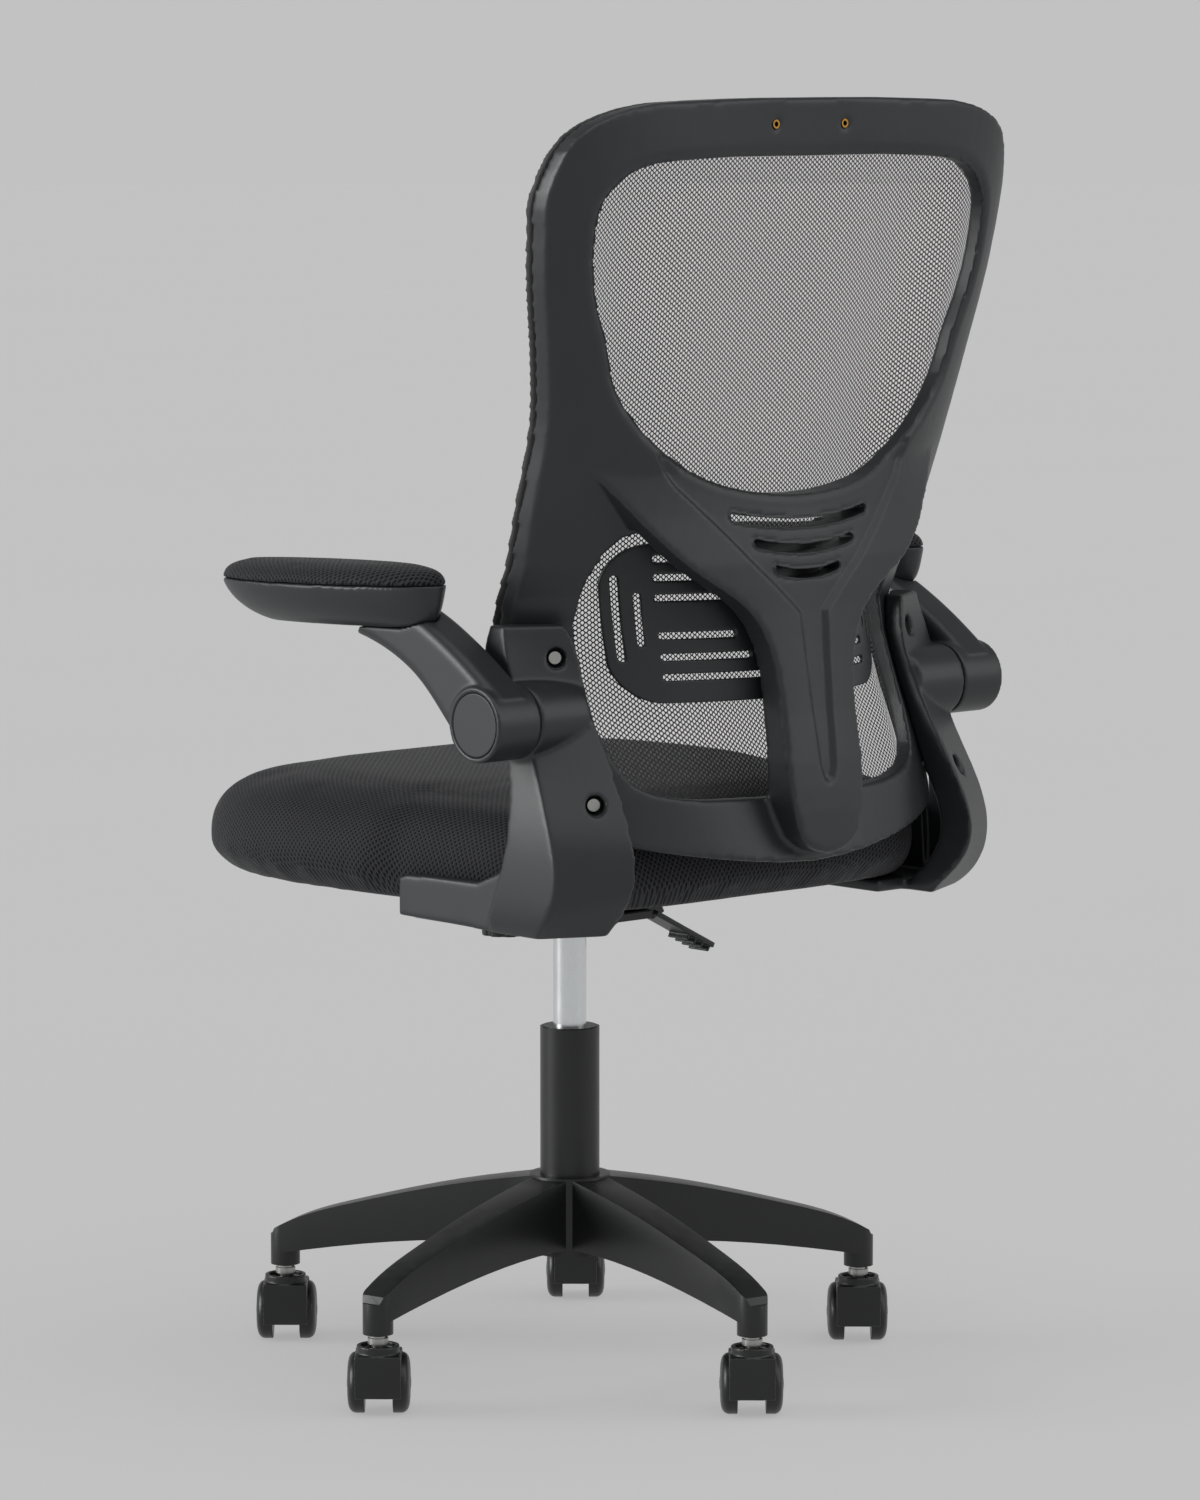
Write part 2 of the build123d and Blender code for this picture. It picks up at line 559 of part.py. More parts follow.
def bracket_left():
    """Bracket that joins the back, the seat and the armrest on the sitter's left."""
    body = loft([bracket_section(*level) for level in BRACKET_LEVELS])
    foot = [(55, 412), (55, 443), (66, FOOT_TOP), (150, FOOT_TOP + 2), (176, 458), (190, 478), (196, FOOT_FLOOR)]
    body += side_prism(foot, 226, 238)
    body += box(150, 230, 62, 215, FOOT_FLOOR, 419.5)
    body += cross_rod(HUB_R, 186, HUB_SPLIT - 0.3, HUB_Y, HUB_Z)
    body -= Pos(0, 0, SEAT_RIM) * extrude(seat_outline(-1.0), 60)
    body -= rim_block(FRAME_DEPTH + CARRIER_DEPTH + 4, 0.5)
    body -= cross_rod(6.0, 204, 260, HUB_Y, HUB_Z)
    for place in BACK_BOLTS:
        body -= along_bolt(*place, 8.0, -16, 30) + along_bolt(*place, 3.2, -60, 0)
    for x, y in foot_bolt_places():
        body -= Pos(x, y, 0) * (rod(3.2, 400, 425) + rod(7.0, 400, FOOT_FLOOR + 4.5))
    return largest(body)


def largest(shape):
    """The biggest solid of a shape."""
    return max(shape.solids(), key=lambda s: s.volume)


def along_bolt(x, y, z, radius, start, end):
    """Bar along a back bolt's axis, measured from its recess mouth outwards."""
    bar = Pos(0, 0, (start + end) / 2) * Cylinder(radius, end - start)
    return Pos(x, y, z) * Rot(0, 0, BOLT_HEADING) * Rot(0, 90, 0) * bar


def back_bolts():
    """Bolts through the brackets' rear walls into the rails."""
    bolts = []
    for place in BACK_BOLTS:
        bolt = along_bolt(*place, 5.0, -15.9, -11) + along_bolt(*place, BOLT_RADIUS, -34, -15)
        bolts += [bolt, mirrored(bolt)]
    return Compound(bolts)


# ---- armrests ----
def pad_face(height, inset, rear_shift=0.0):
    """Rounded outline of the armrest pad, tilted with its seam."""
    length = PAD_REAR - PAD_FRONT
    tilt = degrees(atan2(SEAM_REAR - SEAM_FRONT, length))
    face = Ellipse(PAD_HALF - inset, length / 2 - inset * 1.5)
    middle = (PAD_FRONT + PAD_REAR) / 2 + rear_shift
    return Pos(PAD_X, middle, (SEAM_FRONT + SEAM_REAR) / 2 + height) * Rot(tilt, 0, 0) * face


def pad_shell(grow=0.0):
    """Moulded bowl under the armrest's cushion."""
    return loft([pad_face(h + (grow if h == 0 else -grow), inset - grow, shift) for h, inset, shift in
                 ((0, 0, 0), (-9, 2.5, 2), (-20, 8, 8), (-29, 17, 16), (-33, 26, 20))])


def pad_cushion():
    """Domed cushion of the armrest."""
    return loft([pad_face(h, inset) for h, inset in ((FIT, 0.5), (6, 1.5), (12, 8), (16, 20))])


def armrest_arm():
    """Arm from the pivot hub up to the pad's shell."""
    top = Spline([(0, 222, 602), (0, 184, 629.5), (0, 146, 652), (0, 112, 667), (0, 84, 672)])
    low = Spline([(0, 50, 642), (0, 92, 629), (0, 126, 610), (0, 152, 586), (0, 172, 566)])
    profile = make_face([top, Line(top @ 1, low @ 0), low, Line(low @ 1, top @ 0)])
    arm = Pos(HUB_SPLIT + 4, 0, 0) * extrude(profile, HUB_END - HUB_SPLIT - 7, dir=(1, 0, 0))
    arm = fillet(arm.edges().filter_by(GeomType.BSPLINE), 9)
    arm += cross_rod(HUB_R, HUB_SPLIT + 0.3, HUB_END, HUB_Y, HUB_Z)
    arm -= cross_rod(6.0 + RUNNING_GAP, 230, 270, HUB_Y, HUB_Z)
    arm -= cross_rod(11.0, 262, 290, HUB_Y, HUB_Z)
    arm -= cross_rod(CAP_RADIUS, HUB_END - 4, HUB_END + 1, HUB_Y, HUB_Z)
    return largest(arm - pad_shell(0.3))


def hub_cap():
    """Snap-in disc on the armrest's hub."""
    return cross_rod(CAP_RADIUS - 0.3, HUB_END - 4, HUB_END - 0.6, HUB_Y, HUB_Z)


def pivot_bolt():
    """Shouldered bolt that the armrest turns on."""
    return cross_rod(6.0, 206, 263, HUB_Y, HUB_Z) + cross_rod(10.0, 262.4, 270, HUB_Y, HUB_Z)


# ---- all pieces ----
def pieces():
    """Every node of the chair with its shape."""
    nodes = {
        "base": base(), "caster_stems": caster_stems(), "stem_clips": stem_clips(),
        "column_tube": column_tube(), "guide_sleeve": guide_sleeve(), "thrust_bearing": thrust_bearing(),
        "piston_rod": piston_rod(), "rod_clip": rod_clip(), "gas_cylinder": gas_cylinder(),
        "release_button": release_button(), "mechanism_housing": mechanism_housing(), "tilt_pin": tilt_pin(),
        "seat_plate": seat_plate(), "plate_bolts": plate_bolts(), "foot_bolts": foot_bolts(),
        "height_lever": height_lever(), "tension_spring": tension_spring(), "tension_knob": tension_knob(),
        "seat_board": seat_board(), "seat_cushion": seat_cushion(), "back_frame": back_frame(),
        "headrest_inserts": headrest_inserts(), "mesh_carrier": mesh_carrier(), "back_mesh": back_mesh(),
        "lumbar_pad": lumbar_pad(), "lumbar_screws": lumbar_screws(), "back_bolts": back_bolts(),
    }
    housing, axle = caster_housing(), caster_axle()
    wheels = {"a": caster_wheel(1), "b": caster_wheel(-1)}
    for number, (x, y) in enumerate(stem_places(), start=1):
        nodes[f"caster_{number}_housing"] = at_heading(housing, TRAIL_ANGLE, x, y)
        nodes[f"caster_{number}_axle"] = at_heading(axle, TRAIL_ANGLE, x, y)
        for side, wheel in wheels.items():
            nodes[f"caster_{number}_wheel_{side}"] = at_heading(wheel, TRAIL_ANGLE, x, y)
    pairs = {"bracket": bracket_left(), "armrest_arm": armrest_arm(), "armrest_shell": pad_shell(),
             "armrest_cushion": pad_cushion(), "hub_cap": hub_cap(), "pivot_bolt": pivot_bolt()}
    for name, shape in pairs.items():
        nodes[f"{name}_left"] = shape
        nodes[f"{name}_right"] = mirrored(shape)
    return nodes


os.makedirs("parts", exist_ok=True)
for node, shape in pieces().items():
    export_step(shape if isinstance(shape, Compound) else Compound(shape.solids()), f"parts/{node}.step")
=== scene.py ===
"""Looks of a swivel office chair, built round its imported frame: moulded plastics, net back, padded fabric."""

import json
import logging
import math
from dataclasses import dataclass
from enum import Enum

import bpy
import numpy as np
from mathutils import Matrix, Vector
from mathutils.bvhtree import BVHTree

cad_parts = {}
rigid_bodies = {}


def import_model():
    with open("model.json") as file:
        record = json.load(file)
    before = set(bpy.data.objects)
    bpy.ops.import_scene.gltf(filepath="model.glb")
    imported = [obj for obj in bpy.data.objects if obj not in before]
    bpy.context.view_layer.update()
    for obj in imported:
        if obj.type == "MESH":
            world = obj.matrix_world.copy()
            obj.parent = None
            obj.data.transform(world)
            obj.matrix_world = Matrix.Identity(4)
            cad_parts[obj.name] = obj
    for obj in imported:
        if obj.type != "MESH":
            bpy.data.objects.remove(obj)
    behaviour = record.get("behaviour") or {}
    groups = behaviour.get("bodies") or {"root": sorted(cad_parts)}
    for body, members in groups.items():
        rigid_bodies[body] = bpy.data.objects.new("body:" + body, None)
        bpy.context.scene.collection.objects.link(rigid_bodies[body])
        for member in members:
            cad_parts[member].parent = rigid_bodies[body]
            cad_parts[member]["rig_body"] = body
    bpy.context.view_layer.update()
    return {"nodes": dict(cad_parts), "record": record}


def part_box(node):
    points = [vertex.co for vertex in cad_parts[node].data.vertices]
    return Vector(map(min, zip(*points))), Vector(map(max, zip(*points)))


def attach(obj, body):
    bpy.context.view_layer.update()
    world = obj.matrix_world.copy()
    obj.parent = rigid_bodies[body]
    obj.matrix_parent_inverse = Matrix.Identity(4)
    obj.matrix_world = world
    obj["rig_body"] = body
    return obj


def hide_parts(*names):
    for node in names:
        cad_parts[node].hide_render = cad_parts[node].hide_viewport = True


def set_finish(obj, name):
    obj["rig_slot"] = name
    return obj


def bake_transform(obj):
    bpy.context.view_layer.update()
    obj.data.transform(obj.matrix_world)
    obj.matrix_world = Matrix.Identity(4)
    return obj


LOG = logging.getLogger("office_chair")
MM = 0.001
ARM_ANGLES = (-61.6, 10.4, 82.4, 154.4, 226.4)      # headings of the five base arms, in degrees
STEM_CIRCLE = 0.2586                                # radius of the circle of caster stems, in metres
RELAX_FACTOR = 0.5                                  # how strongly one smoothing pass moves a point
WELD_GAP = 0.01                                     # mm within which a CAD mesh's corners are joined
PAD_PRESSURE = 4.0                                  # inner pressure of the padded covers
CLOTH_FRAMES = 20                                   # frames that a cover needs to come to rest


# ---- colour and node helpers ----
def linear(hex_colour: str) -> tuple[float, float, float, float]:
    """Turn an sRGB hex colour into linear RGBA.

    Args:
        hex_colour: six hex digits, such as "2b2d2f".

    Returns:
        Linear red, green, blue and an alpha of 1.
    """
    values = [int(hex_colour[i:i + 2], 16) / 255 for i in (0, 2, 4)]
    return tuple(v / 12.92 if v <= 0.04045 else ((v + 0.055) / 1.055) ** 2.4 for v in values) + (1.0,)


def add(tree: bpy.types.NodeTree, kind: str, settings: dict | None = None,
        inputs: dict | None = None) -> bpy.types.Node:
    """Add a node with its settings, its socket values and its links.

    Args:
        tree: the node tree that gets the node.
        kind: the node's type name.
        settings: attributes of the node.
        inputs: values or output sockets by the name or number of the node's input.

    Returns:
        The new node.
    """
    node = tree.nodes.new(kind)
    for name, value in (settings or {}).items():
        setattr(node, name, value)
    for key, value in (inputs or {}).items():
        if isinstance(value, bpy.types.NodeSocket):
            tree.links.new(value, node.inputs[key])
        else:
            node.inputs[key].default_value = value
    return node


def blank_material(name: str) -> tuple[bpy.types.Material, bpy.types.NodeTree, bpy.types.Node]:
    """Make a material that holds only a Principled shader and its output.

    Args:
        name: the material's name.

    Returns:
        The material, its node tree and the shader.
    """
    material = bpy.data.materials.new(name)
    material.use_nodes = True
    tree = material.node_tree
    tree.nodes.clear()
    shader = add(tree, "ShaderNodeBsdfPrincipled")
    add(tree, "ShaderNodeOutputMaterial", inputs={"Surface": shader.outputs["BSDF"]})
    return material, tree, shader


# ---- finishes ----
@dataclass(frozen=True)
class MouldedPlastic:
    """Injection-moulded plastic with a spark-eroded grain: even, dark and softly shiny.

    The eye gets broad soft highlights that break up a little over the grain, and hardly any change of tone.
    """

    name: str
    dark: str
    light: str
    roughness: float
    grain: float = 0.9          # mm between bumps, drawn coarser than the real 0.3 mm so that it shows
    depth: float = 0.05         # height of the grain in mm
    cloud: float = 60.0         # mm across a patch of slightly different tone
    spread: float = 0.06        # how far the roughness strays over the grain
    relief: float = 0.35        # strength of the grain's bumps
    ior: float = 1.49

    def build(self) -> bpy.types.Material:
        """Make the material.

        Returns:
            The finished material.
        """
        material, tree, shader = blank_material(self.name)
        place = add(tree, "ShaderNodeTexCoord").outputs["Object"]
        clouds = add(tree, "ShaderNodeTexNoise",
                     inputs={"Vector": place, "Scale": 1 / (self.cloud * MM), "Detail": 3.0})
        grains = add(tree, "ShaderNodeTexNoise", inputs={"Vector": place, "Scale": 1 / (self.grain * MM),
                                                         "Detail": 2.0, "Roughness": 0.6})
        tone = add(tree, "ShaderNodeMix", {"data_type": "RGBA"},
                   {"Factor": clouds.outputs["Fac"], 6: linear(self.dark), 7: linear(self.light)})
        speckle = add(tree, "ShaderNodeMapRange",
                      inputs={"Value": grains.outputs["Fac"], "From Min": 0.3, "From Max": 0.7,
                              "To Min": self.roughness - self.spread, "To Max": self.roughness + self.spread})
        bump = add(tree, "ShaderNodeBump", inputs={"Height": grains.outputs["Fac"], "Strength": self.relief,
                                                   "Distance": self.depth * MM * 2})
        tree.links.new(tone.outputs[2], shader.inputs["Base Color"])
        tree.links.new(speckle.outputs["Result"], shader.inputs["Roughness"])
        tree.links.new(bump.outputs["Normal"], shader.inputs["Normal"])
        shader.inputs["IOR"].default_value = self.ior
        return material


@dataclass(frozen=True)
class Metal:
    """Turned, plated or painted metal, with fine marks left by its making.

    The eye gets clear reflections that are slightly drawn out along the marks, and faint smudges.
    """

    name: str
    dark: str
    light: str
    roughness: float
    metallic: float
    streak: tuple[float, float, float] = (0.6, 0.6, 0.6)     # mm along X, Y and Z of one mark
    depth: float = 0.01         # mm
    smudge: float = 25.0        # mm across a patch that is wiped duller or brighter
    spread: float = 0.07        # how far the roughness strays between patches
    relief: float = 0.25        # strength of the marks' bumps

    def build(self) -> bpy.types.Material:
        """Make the material.

        Returns:
            The finished material.
        """
        material, tree, shader = blank_material(self.name)
        place = add(tree, "ShaderNodeTexCoord").outputs["Object"]
        scaled = add(tree, "ShaderNodeMapping",
                     inputs={"Vector": place, "Scale": [1 / (s * MM) for s in self.streak]})
        marks = add(tree, "ShaderNodeTexNoise",
                    inputs={"Vector": scaled.outputs["Vector"], "Scale": 1.0, "Detail": 3.0})
        smudges = add(tree, "ShaderNodeTexNoise",
                      inputs={"Vector": place, "Scale": 1 / (self.smudge * MM), "Detail": 2.0})
        tone = add(tree, "ShaderNodeMix", {"data_type": "RGBA"},
                   {"Factor": marks.outputs["Fac"], 6: linear(self.dark), 7: linear(self.light)})
        rough = add(tree, "ShaderNodeMapRange",
                    inputs={"Value": smudges.outputs["Fac"], "To Min": self.roughness - self.spread,
                            "To Max": self.roughness + self.spread})
        bump = add(tree, "ShaderNodeBump", inputs={"Height": marks.outputs["Fac"], "Strength": self.relief,
                                                   "Distance": self.depth * MM})
        tree.links.new(tone.outputs[2], shader.inputs["Base Color"])
        tree.links.new(rough.outputs["Result"], shader.inputs["Roughness"])
        tree.links.new(bump.outputs["Normal"], shader.inputs["Normal"])
        shader.inputs["Metallic"].default_value = self.metallic
        return material


@dataclass(frozen=True)
class SpacerFabric:
    """Knitted polyester spacer fabric: a black face with staggered round holes over foam.

    The eye gets a matt charcoal with rows of dark dots, and a slight pale sheen where it turns away. The dots'
    near-black colour is painted shade inside the holes.
    """

    name: str
    yarn: str
    # near-black colour of the holes: painted shade inside them
    hole: str
    pitch: float = 4.2          # mm between neighbouring holes
    rim: tuple[float, float] = (0.29, 0.42)     # a hole's sloping rim, in shares of the pitch
    uneven: float = 0.06        # how far a hole strays from its place
    stitch: float = 0.7         # mm between the knit's bumps, coarser than real yarn so that it shows
    wear: float = 70.0          # mm across a patch of slightly worn tone
    dimple: float = 1.0         # mm that a hole lies below the face
    roughness: float = 0.62
    specular: float = 0.15
    sheen: float = 0.1

    def build(self) -> bpy.types.Material:
        """Make the material.

        Returns:
            The finished material.
        """
        material, tree, shader = blank_material(self.name)
        flat = add(tree, "ShaderNodeUVMap", {"uv_map": "unfolded"}).outputs["UV"]
        turned = add(tree, "ShaderNodeMapping", inputs={"Vector": flat, "Rotation": (0, 0, math.pi / 4),
                                                        "Scale": [1 / (self.pitch * MM)] * 3})
        cells = add(tree, "ShaderNodeTexVoronoi", {"voronoi_dimensions": "2D", "feature": "F1"},
                    {"Vector": turned.outputs["Vector"], "Scale": 1.0, "Randomness": self.uneven})
        solid = add(tree, "ShaderNodeMapRange", {"interpolation_type": "SMOOTHSTEP"},
                    {"Value": cells.outputs["Distance"], "From Min": self.rim[0], "From Max": self.rim[1]})
        knit = add(tree, "ShaderNodeTexNoise",
                   inputs={"Vector": flat, "Scale": 1 / (self.stitch * MM), "Detail": 2.0})
        worn = add(tree, "ShaderNodeTexNoise",
                   inputs={"Vector": flat, "Scale": 1 / (self.wear * MM), "Detail": 3.0})
        shade = add(tree, "ShaderNodeMapRange",
                    inputs={"Value": worn.outputs["Fac"], "To Min": 0.75, "To Max": 1.0})
        face = add(tree, "ShaderNodeMath", {"operation": "MULTIPLY"},
                   {0: solid.outputs["Result"], 1: shade.outputs["Result"]})
        # the holes get the painted hole shade, and the worn patches lean a little towards it
        tone = add(tree, "ShaderNodeMix", {"data_type": "RGBA"},
                   {"Factor": face.outputs["Value"], 6: linear(self.hole), 7: linear(self.yarn)})
        height = add(tree, "ShaderNodeMath", {"operation": "MULTIPLY_ADD"},
                     {0: knit.outputs["Fac"], 1: 0.25, 2: solid.outputs["Result"]})
        bump = add(tree, "ShaderNodeBump", inputs={"Height": height.outputs["Value"], "Strength": 1.0,
                                                   "Distance": self.dimple * MM})
        tree.links.new(tone.outputs[2], shader.inputs["Base Color"])
        tree.links.new(bump.outputs["Normal"], shader.inputs["Normal"])
        shader.inputs["Roughness"].default_value = self.roughness
        shader.inputs["Specular IOR Level"].default_value = self.specular
        shader.inputs["Sheen Weight"].default_value = self.sheen
        shader.inputs["Sheen Roughness"].default_value = 0.4
        return material


@dataclass(frozen=True)
class WovenBand:
    """Tightly knitted polyester, as on the net's threads and the band that binds its edge.

    The eye gets a dull black with small ribs and a faint sheen, with painted shade in the creases between the
    ribs.
    """

    name: str
    yarn: str
    # darker colour between the ribs: painted shade in the creases
    gap: str
    pitch: float = 1.6          # mm between ribs
    height: float = 0.4         # mm that a rib stands up
    uneven: float = 0.5         # how far a rib strays from its place
    roughness: float = 0.6
    sheen: float = 0.2

    def build(self) -> bpy.types.Material:
        """Make the material.

        Returns:
            The finished material.
        """
        material, tree, shader = blank_material(self.name)
        place = add(tree, "ShaderNodeTexCoord").outputs["Object"]
        ribs = add(tree, "ShaderNodeTexVoronoi", {"feature": "F1"},
                   {"Vector": place, "Scale": 1 / (self.pitch * MM), "Randomness": self.uneven})
        # darker away from each rib's middle: painted shade between the ribs
        tone = add(tree, "ShaderNodeMix", {"data_type": "RGBA"},
                   {"Factor": ribs.outputs["Distance"], 6: linear(self.yarn), 7: linear(self.gap)})
        bump = add(tree, "ShaderNodeBump", {"invert": True},
                   {"Height": ribs.outputs["Distance"], "Strength": 0.7, "Distance": self.height * MM})
        tree.links.new(tone.outputs[2], shader.inputs["Base Color"])
        tree.links.new(bump.outputs["Normal"], shader.inputs["Normal"])
        shader.inputs["Roughness"].default_value = self.roughness
        shader.inputs["Sheen Weight"].default_value = self.sheen
        return material


@dataclass(frozen=True)
class Plywood:
    """Rotary-cut plywood stained black, with its grain along X.

    The eye gets a matt brown-black with long streaks across the underside of the seat.
    """

    name: str
    dark: str
    light: str
    grain: tuple[float, float, float] = (60.0, 3.0, 1.5)     # mm along X, Y and Z of one streak
    depth: float = 0.2          # mm
    roughness: float = 0.65

    def build(self) -> bpy.types.Material:
        """Make the material.

        Returns:
            The finished material.
        """
        material, tree, shader = blank_material(self.name)
        place = add(tree, "ShaderNodeTexCoord").outputs["Object"]
        drawn = add(tree, "ShaderNodeMapping",
                    inputs={"Vector": place, "Scale": [1 / (s * MM) for s in self.grain]})
        grain = add(tree, "ShaderNodeTexNoise",
                    inputs={"Vector": drawn.outputs["Vector"], "Scale": 1.0, "Detail": 4.0})
        tone = add(tree, "ShaderNodeMix", {"data_type": "RGBA"},
                   {"Factor": grain.outputs["Fac"], 6: linear(self.dark), 7: linear(self.light)})
        bump = add(tree, "ShaderNodeBump",
                   inputs={"Height": grain.outputs["Fac"], "Strength": 0.3, "Distance": self.depth * MM})
        tree.links.new(tone.outputs[2], shader.inputs["Base Color"])
        tree.links.new(bump.outputs["Normal"], shader.inputs["Normal"])
        shader.inputs["Roughness"].default_value = self.roughness
        return material


class Finish(Enum):
    """The chair's finishes, named as the record's material slots are."""

    # charcoal with a cool cast and broad dim highlights
    frame_plastic = MouldedPlastic("polypropylene_fine_grain", "202224", "272a2c", 0.40)
    # nearly black, a little shinier than the frame
    black_nylon = MouldedPlastic("glass_filled_nylon", "131415", "1a1b1c", 0.36, grain=0.8)
    # black with the orange-peel surface of baked powder, so it shines like a plastic
    black_paint = Metal("powder_coated_steel", "131414", "1b1c1c", 0.36, 0.0,
                        streak=(0.8, 0.8, 0.8), depth=0.03)
    # pale and bright, with long grinding lines that spread its highlights up the rod
    bright_steel = Metal("chromed_ground_steel", "d8dcde", "eceeef", 0.26, 1.0, streak=(0.4, 0.4, 6.0))
    # grey and slightly warm, duller than chrome
    zinc_steel = Metal("zinc_plated_steel", "9a9b99", "bdbdb8", 0.33, 1.0)
    # yellow glints in two small sleeves
    brass = Metal("turned_brass", "a6793a", "c99a52", 0.3, 1.0)
    plywood = Plywood("black_stained_plywood", "17130f", "241f1a")
    # charcoal yarn; the near-black second colour is painted shade inside the holes
    spacer_fabric = SpacerFabric("polyester_spacer_fabric", "303135", "010101")
    # near-black band; its second colour is painted shade between the ribs
    mesh_binding = WovenBand("polyester_binding", "161718", "060607")
    # threads whose gaps are real holes in the mesh, so only their own ribs are drawn here, with painted shade
    # between them
    back_mesh = WovenBand("polyester_net", "1c1c1e", "0b0b0c", pitch=1.0)


class Wardrobe:
    """Makes each finish once and puts it on pieces."""

    def __init__(self) -> None:
        """Start with no material made."""
        self.made: dict[Finish, bpy.types.Material] = {}

    def material(self, finish: Finish) -> bpy.types.Material:
        """Give a finish's material, made at its first use.

        Args:
            finish: the finish wanted.

        Returns:
            Its material, the same one each time.
        """
        if finish not in self.made:
            self.made[finish] = finish.value.build()
        return self.made[finish]

    def dress(self, piece: bpy.types.Object, finish: Finish) -> None:
        """Put a finish on a whole piece, name its slot in the record and report the piece.

        Args:
            piece: a piece whose mesh is final.
            finish: what it is made of.
        """
        piece.data.materials.clear()
        piece.data.materials.append(self.material(finish))
        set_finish(piece, finish.name)
        LOG.info("%s: %s, %d faces", piece.name, finish.value.name, len(piece.data.polygons))


# ---- mesh helpers ----
def coordinates(mesh: bpy.types.Mesh) -> np.ndarray:
    """Read where a mesh's vertices are.

    Args:
        mesh: the mesh.

    Returns:
        Its vertices as rows of X, Y and Z.
    """
    flat = np.zeros(len(mesh.vertices) * 3, np.float32)
    mesh.vertices.foreach_get("co", flat)
    return flat.reshape(-1, 3).astype(float)


def set_coordinates(mesh: bpy.types.Mesh, points: np.ndarray) -> None:
    """Write an array of XYZ rows back to a mesh.

    Args:
        mesh: the mesh.
        points: rows of X, Y and Z, one for each vertex.
    """
    mesh.vertices.foreach_set("co", points.astype(np.float32).ravel())
    mesh.update()


def normals(mesh: bpy.types.Mesh) -> np.ndarray:
    """Read which way a mesh's surface faces at each vertex.

    Args:
        mesh: the mesh.

    Returns:
        Its vertex normals as rows of X, Y and Z.
    """
    flat = np.zeros(len(mesh.vertices) * 3, np.float32)
    mesh.vertex_normals.foreach_get("vector", flat)
    return flat.reshape(-1, 3).astype(float)


def new_piece(name: str, points: list, faces: list) -> bpy.types.Object:
    """Make a smooth-shaded mesh object and link it to the scene.

    Args:
        name: the piece's name.
        points: its vertices in metres.
        faces: its faces as tuples of vertex numbers.

    Returns:
        The new object.
    """
    mesh = bpy.data.meshes.new(name)
    mesh.from_pydata([tuple(p) for p in points], [], faces)
    mesh.polygons.foreach_set("use_smooth", [True] * len(mesh.polygons))
    piece = bpy.data.objects.new(name, mesh)
    bpy.context.scene.collection.objects.link(piece)
    return piece


def applied(piece: bpy.types.Object) -> None:
    """Replace a piece's mesh with what its modifiers make of it.

    Args:
        piece: the piece, which has no modifier left afterwards.
    """
    graph = bpy.context.evaluated_depsgraph_get()
    mesh = bpy.data.meshes.new_from_object(piece.evaluated_get(graph))
    piece.modifiers.clear()
    piece.data = mesh


def solid_copy(name: str, *nodes: str) -> bpy.types.Object:
    """Join copies of CAD nodes into one welded mesh.

    Args:
        name: the new piece's name.
        nodes: names of the CAD nodes.

    Returns:
        The new object, still without a body.
    """
    points, faces = [], []
    for node in nodes:
        mesh = bpy.data.objects[node].data
        faces += [tuple(v + len(points) for v in p.vertices) for p in mesh.polygons]
        points += [tuple(v.co) for v in mesh.vertices]
    piece = new_piece(name, points, faces)
    weld = piece.modifiers.new("weld", "WELD")
    weld.merge_threshold = WELD_GAP * MM
    applied(piece)
    return piece


def moulded(name: str, node: str, voxel: float, passes: int) -> bpy.types.Object:
    """Turn a CAD node into an even mesh whose edges are rounded as a mould rounds them.

    Args:
        name: the new piece's name.
        node: the CAD node that it stands for.
        voxel: size of the mesh's cells in mm.
        passes: how often the surface is relaxed.

    Returns:
        The new object, riding on the node's body.
    """
    piece, solid = solid_copy(name, node), solid_copy(f"{name}_solid", node)
    remesh = piece.modifiers.new("remesh", "REMESH")
    remesh.mode, remesh.voxel_size, remesh.use_smooth_shade = "VOXEL", voxel * MM, True
    snap = piece.modifiers.new("snap", "SHRINKWRAP")
    snap.target = solid
    even = piece.modifiers.new("even", "SMOOTH")
    even.factor, even.iterations = RELAX_FACTOR, passes
    applied(piece)
    bpy.data.objects.remove(solid)
    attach(piece, bpy.data.objects[node]["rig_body"])
    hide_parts(node)
    return piece


def relax(piece: bpy.types.Object, passes: int, weights: np.ndarray) -> None:
    """Relax part of a piece's surface, as a generous fillet would.

    Args:
        piece: the piece.
        passes: how often the surface is relaxed.
        weights: for each point, how strongly it takes part, from 0 to 1.
    """
    group = piece.vertex_groups.new(name="relaxed")
    for index in np.nonzero(weights > 0.01)[0]:
        group.add([int(index)], float(weights[index]), "REPLACE")
    even = piece.modifiers.new("relax", "SMOOTH")
    even.factor, even.iterations, even.vertex_group = RELAX_FACTOR, passes, "relaxed"
    applied(piece)
    piece.vertex_groups.clear()


def shifted_copy(piece: bpy.types.Object, name: str, node: str,
                 shift: tuple[float, float, float] = (0, 0, 0), mirrored: bool = False) -> bpy.types.Object:
    """Copy a finished piece to where another CAD node is.

    Args:
        piece: the piece to copy.
        name: the copy's name.
        node: the CAD node that the copy stands for.
        shift: how far to move it, in metres.
        mirrored: whether it is first turned over from left to right.

    Returns:
        The copy, riding on that node's body.
    """
    mesh = piece.data.copy()
    points = coordinates(mesh)
    if mirrored:
        points[:, 0] *= -1
        mesh.flip_normals()
    set_coordinates(mesh, points + np.array(shift))
    copy = bpy.data.objects.new(name, mesh)
    bpy.context.scene.collection.objects.link(copy)
    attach(copy, bpy.data.objects[node]["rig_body"])
    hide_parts(node)
    return copy


